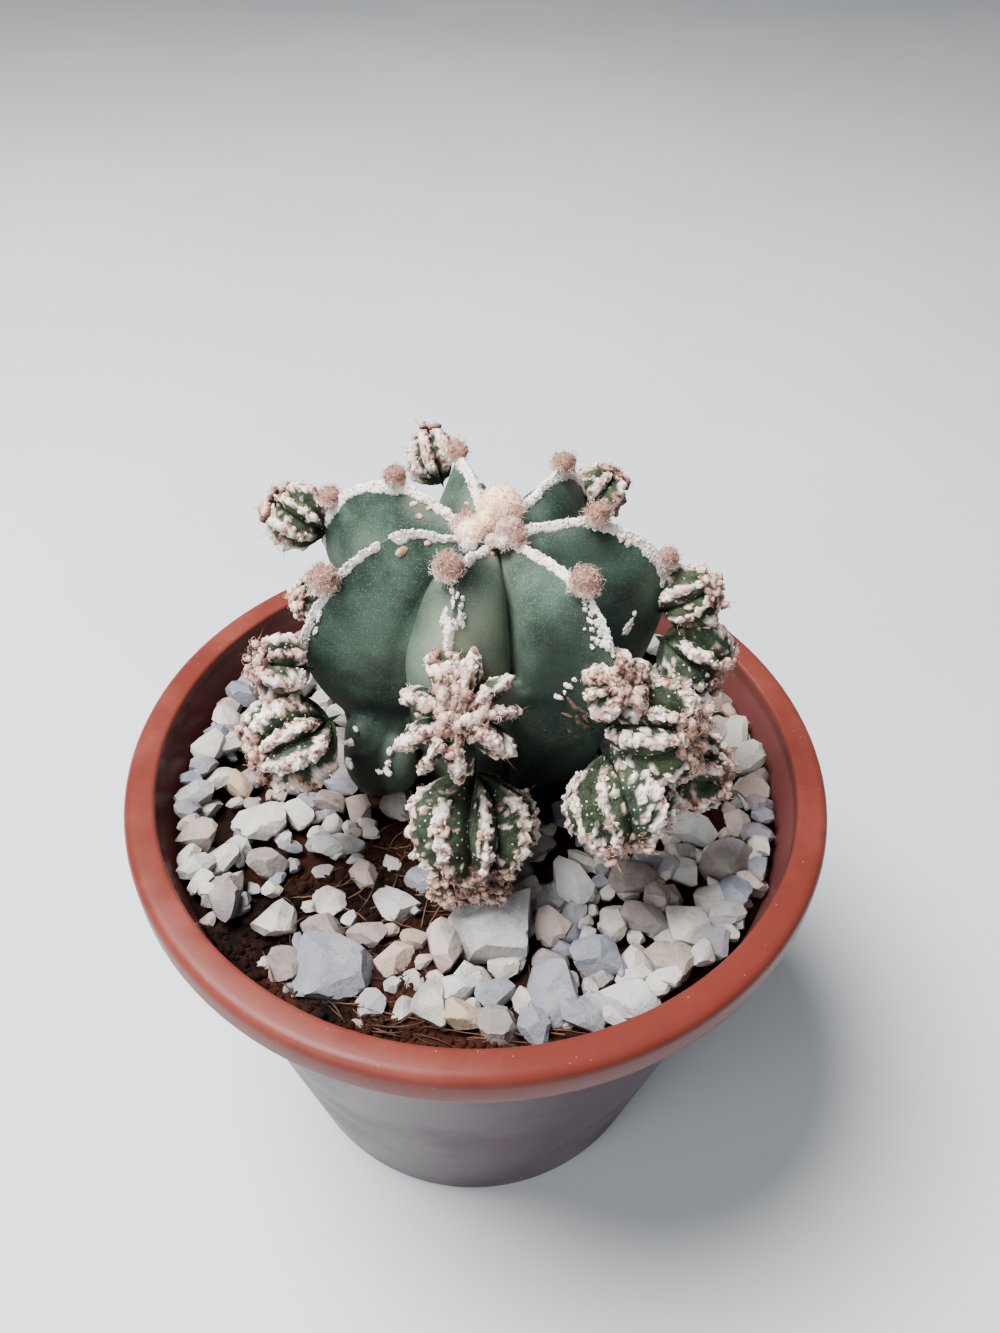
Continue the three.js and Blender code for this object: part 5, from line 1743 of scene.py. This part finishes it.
# %% A head's skin
def head_skin_mesh(head):
    """The ribbed skin, puffed up where felt covers it. It keeps where felt is, and how pink it is, with
    painted shade in the crevices between the puffs.
    """
    per_rib, rows = (16, 60) if head.radius > LARGE_OFFSET else (12, 36)
    position = np.arange(head.ribs * per_rib) / per_rib
    polar = (np.pi * np.arange(1, rows) / rows)[:, None]
    base = head.surface(position, polar)
    share = np.abs(1 - 2 * (position % 1))
    edge = 1.02 - 0.5 * head.felted
    ragged = 0.2 * noise(base, 1.2, 3) + 0.14 * noise(base, 0.5, 4)
    at_crest = smooth(edge - 0.06, edge + 0.06, share + ragged)
    limit = 0.7 - 0.65 * head.felted
    flecks = smooth(limit, limit + 0.12, noise(base, 0.7, head.seed)) * smooth(0.05, 0.3, share)
    fade = 1 - smooth(2.1, 2.7, polar)
    covered = np.clip(np.maximum(at_crest, flecks) * fade + smooth(0.5, 0.3, polar), 0, 1)
    puffs = 0.06 + 0.6 * np.abs(noise(base, 1.0, 6)) + 0.35 * np.abs(noise(base, 0.5, 7))
    base = base + unit(base) * (covered * puffs + 0.05 * noise(base, 0.35, 8))[..., None]
    rust = head.pink * (0.5 * smooth(0.0, 0.7, noise(base, 1.8, 9)) + 0.6 * np.exp(-((polar / 0.7) ** 2)))
    # Painted shade: the crevices between the puffs get a higher colour number, which reads darker
    rust = rust + 0.65 * smooth(0.2, 0.0, np.abs(noise(base, 1.0, 6)))
    pole = head.radius * head.flat * (1 - DIMPLE)
    points = with_poles([0, 0, pole], base, [0, 0, -pole * NECK_REACH])
    felted = with_poles(1, covered, 0)
    values = {"felt": felted, "cover": felted, "rust": with_poles(head.pink, rust, 0)}
    return mesh_from("head_skin", head.placed(points), ring_faces(rows - 1, len(position)), values)


# %% [markdown]
# Lumps of felt crowd together at every areole of a head, and more of them hide its crown. They are placed
# by the head's own rule, and their sizes and colours are drawn from its seed.

# %% A head's knobs and crown
LUMPS_PER_KNOB, CROWN_SPREAD, CROWN_TWIST = 3, 0.76, 2.4


def crest_knobs(head):
    """Crusty lumps of felt along the crests: their places, lies, half sizes and colour numbers."""
    draw = Draws(head.seed + 500)
    rib, polar = np.repeat(np.array(head.knobs), LUMPS_PER_KNOB, axis=0).T
    chance = np.array([[draw.one() for _ in range(7)] for _ in rib])
    position = rib + KNOB_SCATTER * (chance[:, 2] - 0.5)
    polar = np.clip(polar + head.gap / head.radius * 0.7 * (chance[:, 5] - 0.5), 0.3, 2.4)
    centre = head.surface(position, polar)
    first = unit(head.surface(position, polar + 0.04) - centre)
    out = unit(centre * [1, 1, 1 / head.flat])
    across = unit(np.cross(out, first))
    out = np.cross(first, across)
    size = (0.26 + 0.13 * head.gap) * (0.5 + 0.75 * chance[:, 0]) * (0.8 + 0.025 * head.radius)
    rust = np.where(chance[:, 1] < 0.46, 0.16 * chance[:, 3], head.pink * (0.2 + 0.6 * chance[:, 3]))
    rust = rust + 0.4 * head.pink * np.exp(-((polar / 0.8) ** 2))
    sizes = size[:, None] * np.stack([1 + 0.6 * chance[:, 4], 1 + 0 * size, 0.5 + 0.3 * chance[:, 6]], 1)
    return centre - 0.25 * out * size[:, None], np.stack([first, across, out], 1), sizes, rust


def upright(centre, size, rust):
    """Lumps in a head's own lie, a little lower than wide."""
    return centre, np.repeat(np.eye(3)[None], len(size), 0), size[:, None] * np.array([1, 1, 0.9]), rust


def crown_lumps(head):
    """The cluster of woolly lumps that hides the crown."""
    draw = Draws(head.seed + 900)
    count = 14 + int(3.4 * head.radius)
    rows = []
    for k in range(count):
        position = CROWN_TWIST * k / (2 * math.pi) * head.ribs % head.ribs
        rows.append((position, CROWN_SPREAD * math.sqrt((k + 0.3) / count), draw.one(), draw.one()))
    position, polar, big, pink = np.array(rows).T
    centre = head.surface(position, polar)
    centre[:, 2] += 0.1 + 0.7 * big
    size = (0.4 + 0.03 * head.radius) * (0.6 + 0.65 * big)
    return upright(centre, size, 0.12 + head.pink * (0.2 + 0.75 * pink))


# %% [markdown]
# Two heads at the front have lumps of their own. A chain of wool climbs from the upper one to the mother
# plant's rib, and a rusty tuft hides the crown of the lower one.

# %% The chain and the tuft
CHAIN_FROM, CHAIN_TO, CHAIN_COUNT = np.array([-1.6, -17.6, 91.2]), np.array([-3.0, -11.4, 94.3]), 52
TUFT_AT, TUFT_REACH, TUFT_COUNT = np.array([-0.4, -22.7, 68.0]), np.array([4.3, 0.9, 1.9]), 58
CHAIN_SEED, TUFT_SEED = 616, 717


def loose_lumps(head, rows):
    """Lumps given by place, size and colour number, turned into the head's own lie."""
    x, y, z, size, rust = np.array(rows).T
    return upright((np.stack([x, y, z], 1) - head.at) @ head.turn, size, rust)


def chain_lumps(head):
    """The chain of wool from the front head's crown up to the mother plant's front rib."""
    draw, rows = Draws(CHAIN_SEED), []
    for k in range(CHAIN_COUNT):
        t = k / (CHAIN_COUNT - 1)
        spread = 1.1 + 1.1 * t * t
        offset = np.array([spread * draw.signed(), 0.6 * draw.signed(), 0.45 * draw.signed()])
        at = CHAIN_FROM + (CHAIN_TO - CHAIN_FROM) * t + offset
        at[2] -= 0.22 * offset[0] ** 2
        rows.append((*at, 0.36 + 0.4 * draw.one(), 0.1 if draw.one() < 0.3 else 0.2 + 0.5 * draw.one()))
    return loose_lumps(head, rows)


def tuft_lumps(head):
    """The rusty tuft on the crown of the lower front head, which hangs crown down."""
    draw, rows = Draws(TUFT_SEED), []
    for _ in range(TUFT_COUNT):
        at = TUFT_AT + TUFT_REACH * np.array([draw.signed(), draw.signed(), draw.signed()])
        rows.append((*at, 0.34 + 0.36 * draw.one(), 0.16 + 0.5 * draw.one()))
    return loose_lumps(head, rows)


EXTRA_LUMPS = {"front_upper": [chain_lumps], "front_lower": [tuft_lumps]}


def knobs_of(head, extra):
    """All lumps of a head as one mesh, where the crown's are, and which points face away from the head."""
    rows = [make(head) for make in (crest_knobs, crown_lumps, *extra)]
    centre, frames, sizes, rust = [np.concatenate(parts) for parts in zip(*rows)]
    centre = head.placed(centre)
    # The knobs' lower sides get painted shade
    made = lumps("knobs", centre, frames @ head.turn.T, sizes, rust, head.seed, under=0.5)
    per_knob = len(made.vertices) // len(centre)
    from_knob = unit(points_of(made) - np.repeat(centre, per_knob, 0))
    from_head = unit(points_of(made) - head.at)
    at_crown = np.repeat(np.arange(len(centre)) >= LUMPS_PER_KNOB * len(head.knobs), per_knob)
    return made, at_crown, smooth(-0.2, 0.3, (from_knob * from_head).sum(1))


# %% [markdown]
# A head is dressed in layers: crumbs and grains on its felted skin, grains and curls on its knobs, longer
# curls on its crown, and a few spines. Every hair varies the colour of the place that it grows on. Heads at
# the back, which are seen less, get half as many.

# %% Dressing a head
BACK_SHARE = 0.5


def grown(host, cover, what, per_mm2, size, lean, seed, spread, more=0.0):
    """Small things grown on a host where the cover says so, in shades of the host's own colour number."""
    keep_numbers(host, "cover", cover)
    mesh = scatter(host, what, per_mm2, size, lean, seed, AREOLE_WOOL)
    rust = numbers_of(mesh, "rust") + more + spread * (numbers_of(mesh, "tone") - 0.5)
    keep_numbers(mesh, "rust", np.clip(rust, 0, 1))
    return mesh


def head_meshes(head, extra):
    seed, share = head.seed, 1.0 if head.at[1] < 0 else BACK_SHARE
    skin, (knobs, at_crown, outer) = head_skin_mesh(head), knobs_of(head, extra)
    covered, rust = numbers_of(skin, "cover"), numbers_of(knobs, "rust")
    pinker = covered * smooth(0.15, 0.4, numbers_of(skin, "rust"))
    woolly_knobs = outer * np.maximum(at_crown, smooth(0.12, 0.4, rust))
    return [
        painted(skin, HEAD_SKIN), painted(knobs, AREOLE_WOOL),
        grown(skin, covered, CRUMBS, 0.26 * share, (0.3, 0.8), 180, seed, 0.2),
        grown(skin, covered, GRAINS, 1.45 * share, (0.18, 0.5), 60, seed + 1, 0.25),
        grown(skin, pinker, CURLS, 1.0 * share, (0.4, 0.9), 50, seed + 2, 0.4, 0.1),
        grown(knobs, outer, GRAINS, 1.4 * share, (0.16, 0.46), 60, seed + 3, 0.3),
        grown(knobs, woolly_knobs, CURLS, 1.4 * share, (0.45, 1.25), 50, seed + 4, 0.5, 0.06),
        grown(knobs, outer * at_crown, CURLS, 2.3 * share, (0.6, 1.6), 50, seed + 7, 0.6, 0.08),
        grown(knobs, outer, FUZZ, 0.6 * share, (0.25, 0.8), 60, seed + 5, 0.4, 0.05),
        scatter(knobs, SPINES, 0.05, (1.2, 2.6), 40, seed + 6, SPINE),
    ]


for number, row in enumerate(HEADS):
    made = head_meshes(Head(number, *row), EXTRA_LUMPS.get(row[0], []))
    piece(f"head_{row[0]}", made, f"offset_{row[0]}")


# %% [markdown]
# ## Floor and light
# The plant stands on a plain pale floor, which catches its shadow and keeps out of the way. It is staging,
# so it rides with nothing and stands for no solid.

# %% Floor
FLOOR_HALF = 1.5
floor_mesh = bpy.data.meshes.new("floor")
corners = [(x * FLOOR_HALF, y * FLOOR_HALF, 0) for x, y in ((-1, -1), (1, -1), (1, 1), (-1, 1))]
floor_mesh.from_pydata(corners, [], [(0, 1, 2, 3)])
floor_finish = Finish("floor_paint", roughness=0.9)
floor_finish.colour(
    floor_finish.mix(floor_finish.mask(MOTTLE, Scale=3), (184, 187, 191), (192, 194, 197))
)
floor = linked("floor", painted(floor_mesh, floor_finish.material))
print("the floor is", 2 * FLOOR_HALF, "metres wide")

# %% [markdown]
# The light in the photograph is open shade: a broad pale sky that is strongest from above. One soft lamp
# high on the left stands for it, with a weak one in front and an even sky, so that the shadows stay gentle.

# %% Lights
LAMP_AIM = Vector((0, 0, 0.08))


def soft_lamp(name, place, size, power, colour):
    """A round lamp that faces the plant. Its place and size are in metres and its power in watts."""
    lamp = bpy.data.lights.new(name, "AREA")
    lamp.shape, lamp.size, lamp.energy, lamp.color = "DISK", size, power, colour
    obj = linked(name, lamp)
    obj.location = place
    obj.rotation_euler = (LAMP_AIM - Vector(place)).to_track_quat("-Z", "Y").to_euler()


soft_lamp("key", (-0.23, 0.02, 0.6), 0.34, 16.5, (1.0, 0.995, 0.985))
soft_lamp("fill", (-0.3, -0.45, 0.44), 0.5, 3.4, (0.95, 0.98, 1.0))
scene.world = bpy.data.worlds.new("sky")
scene.world.use_nodes = True
sky = scene.world.node_tree.nodes["Background"].inputs
sky["Color"].default_value, sky["Strength"].default_value = (0.84, 0.89, 0.95, 1), 0.26
print("lamps:", len(bpy.data.lights))
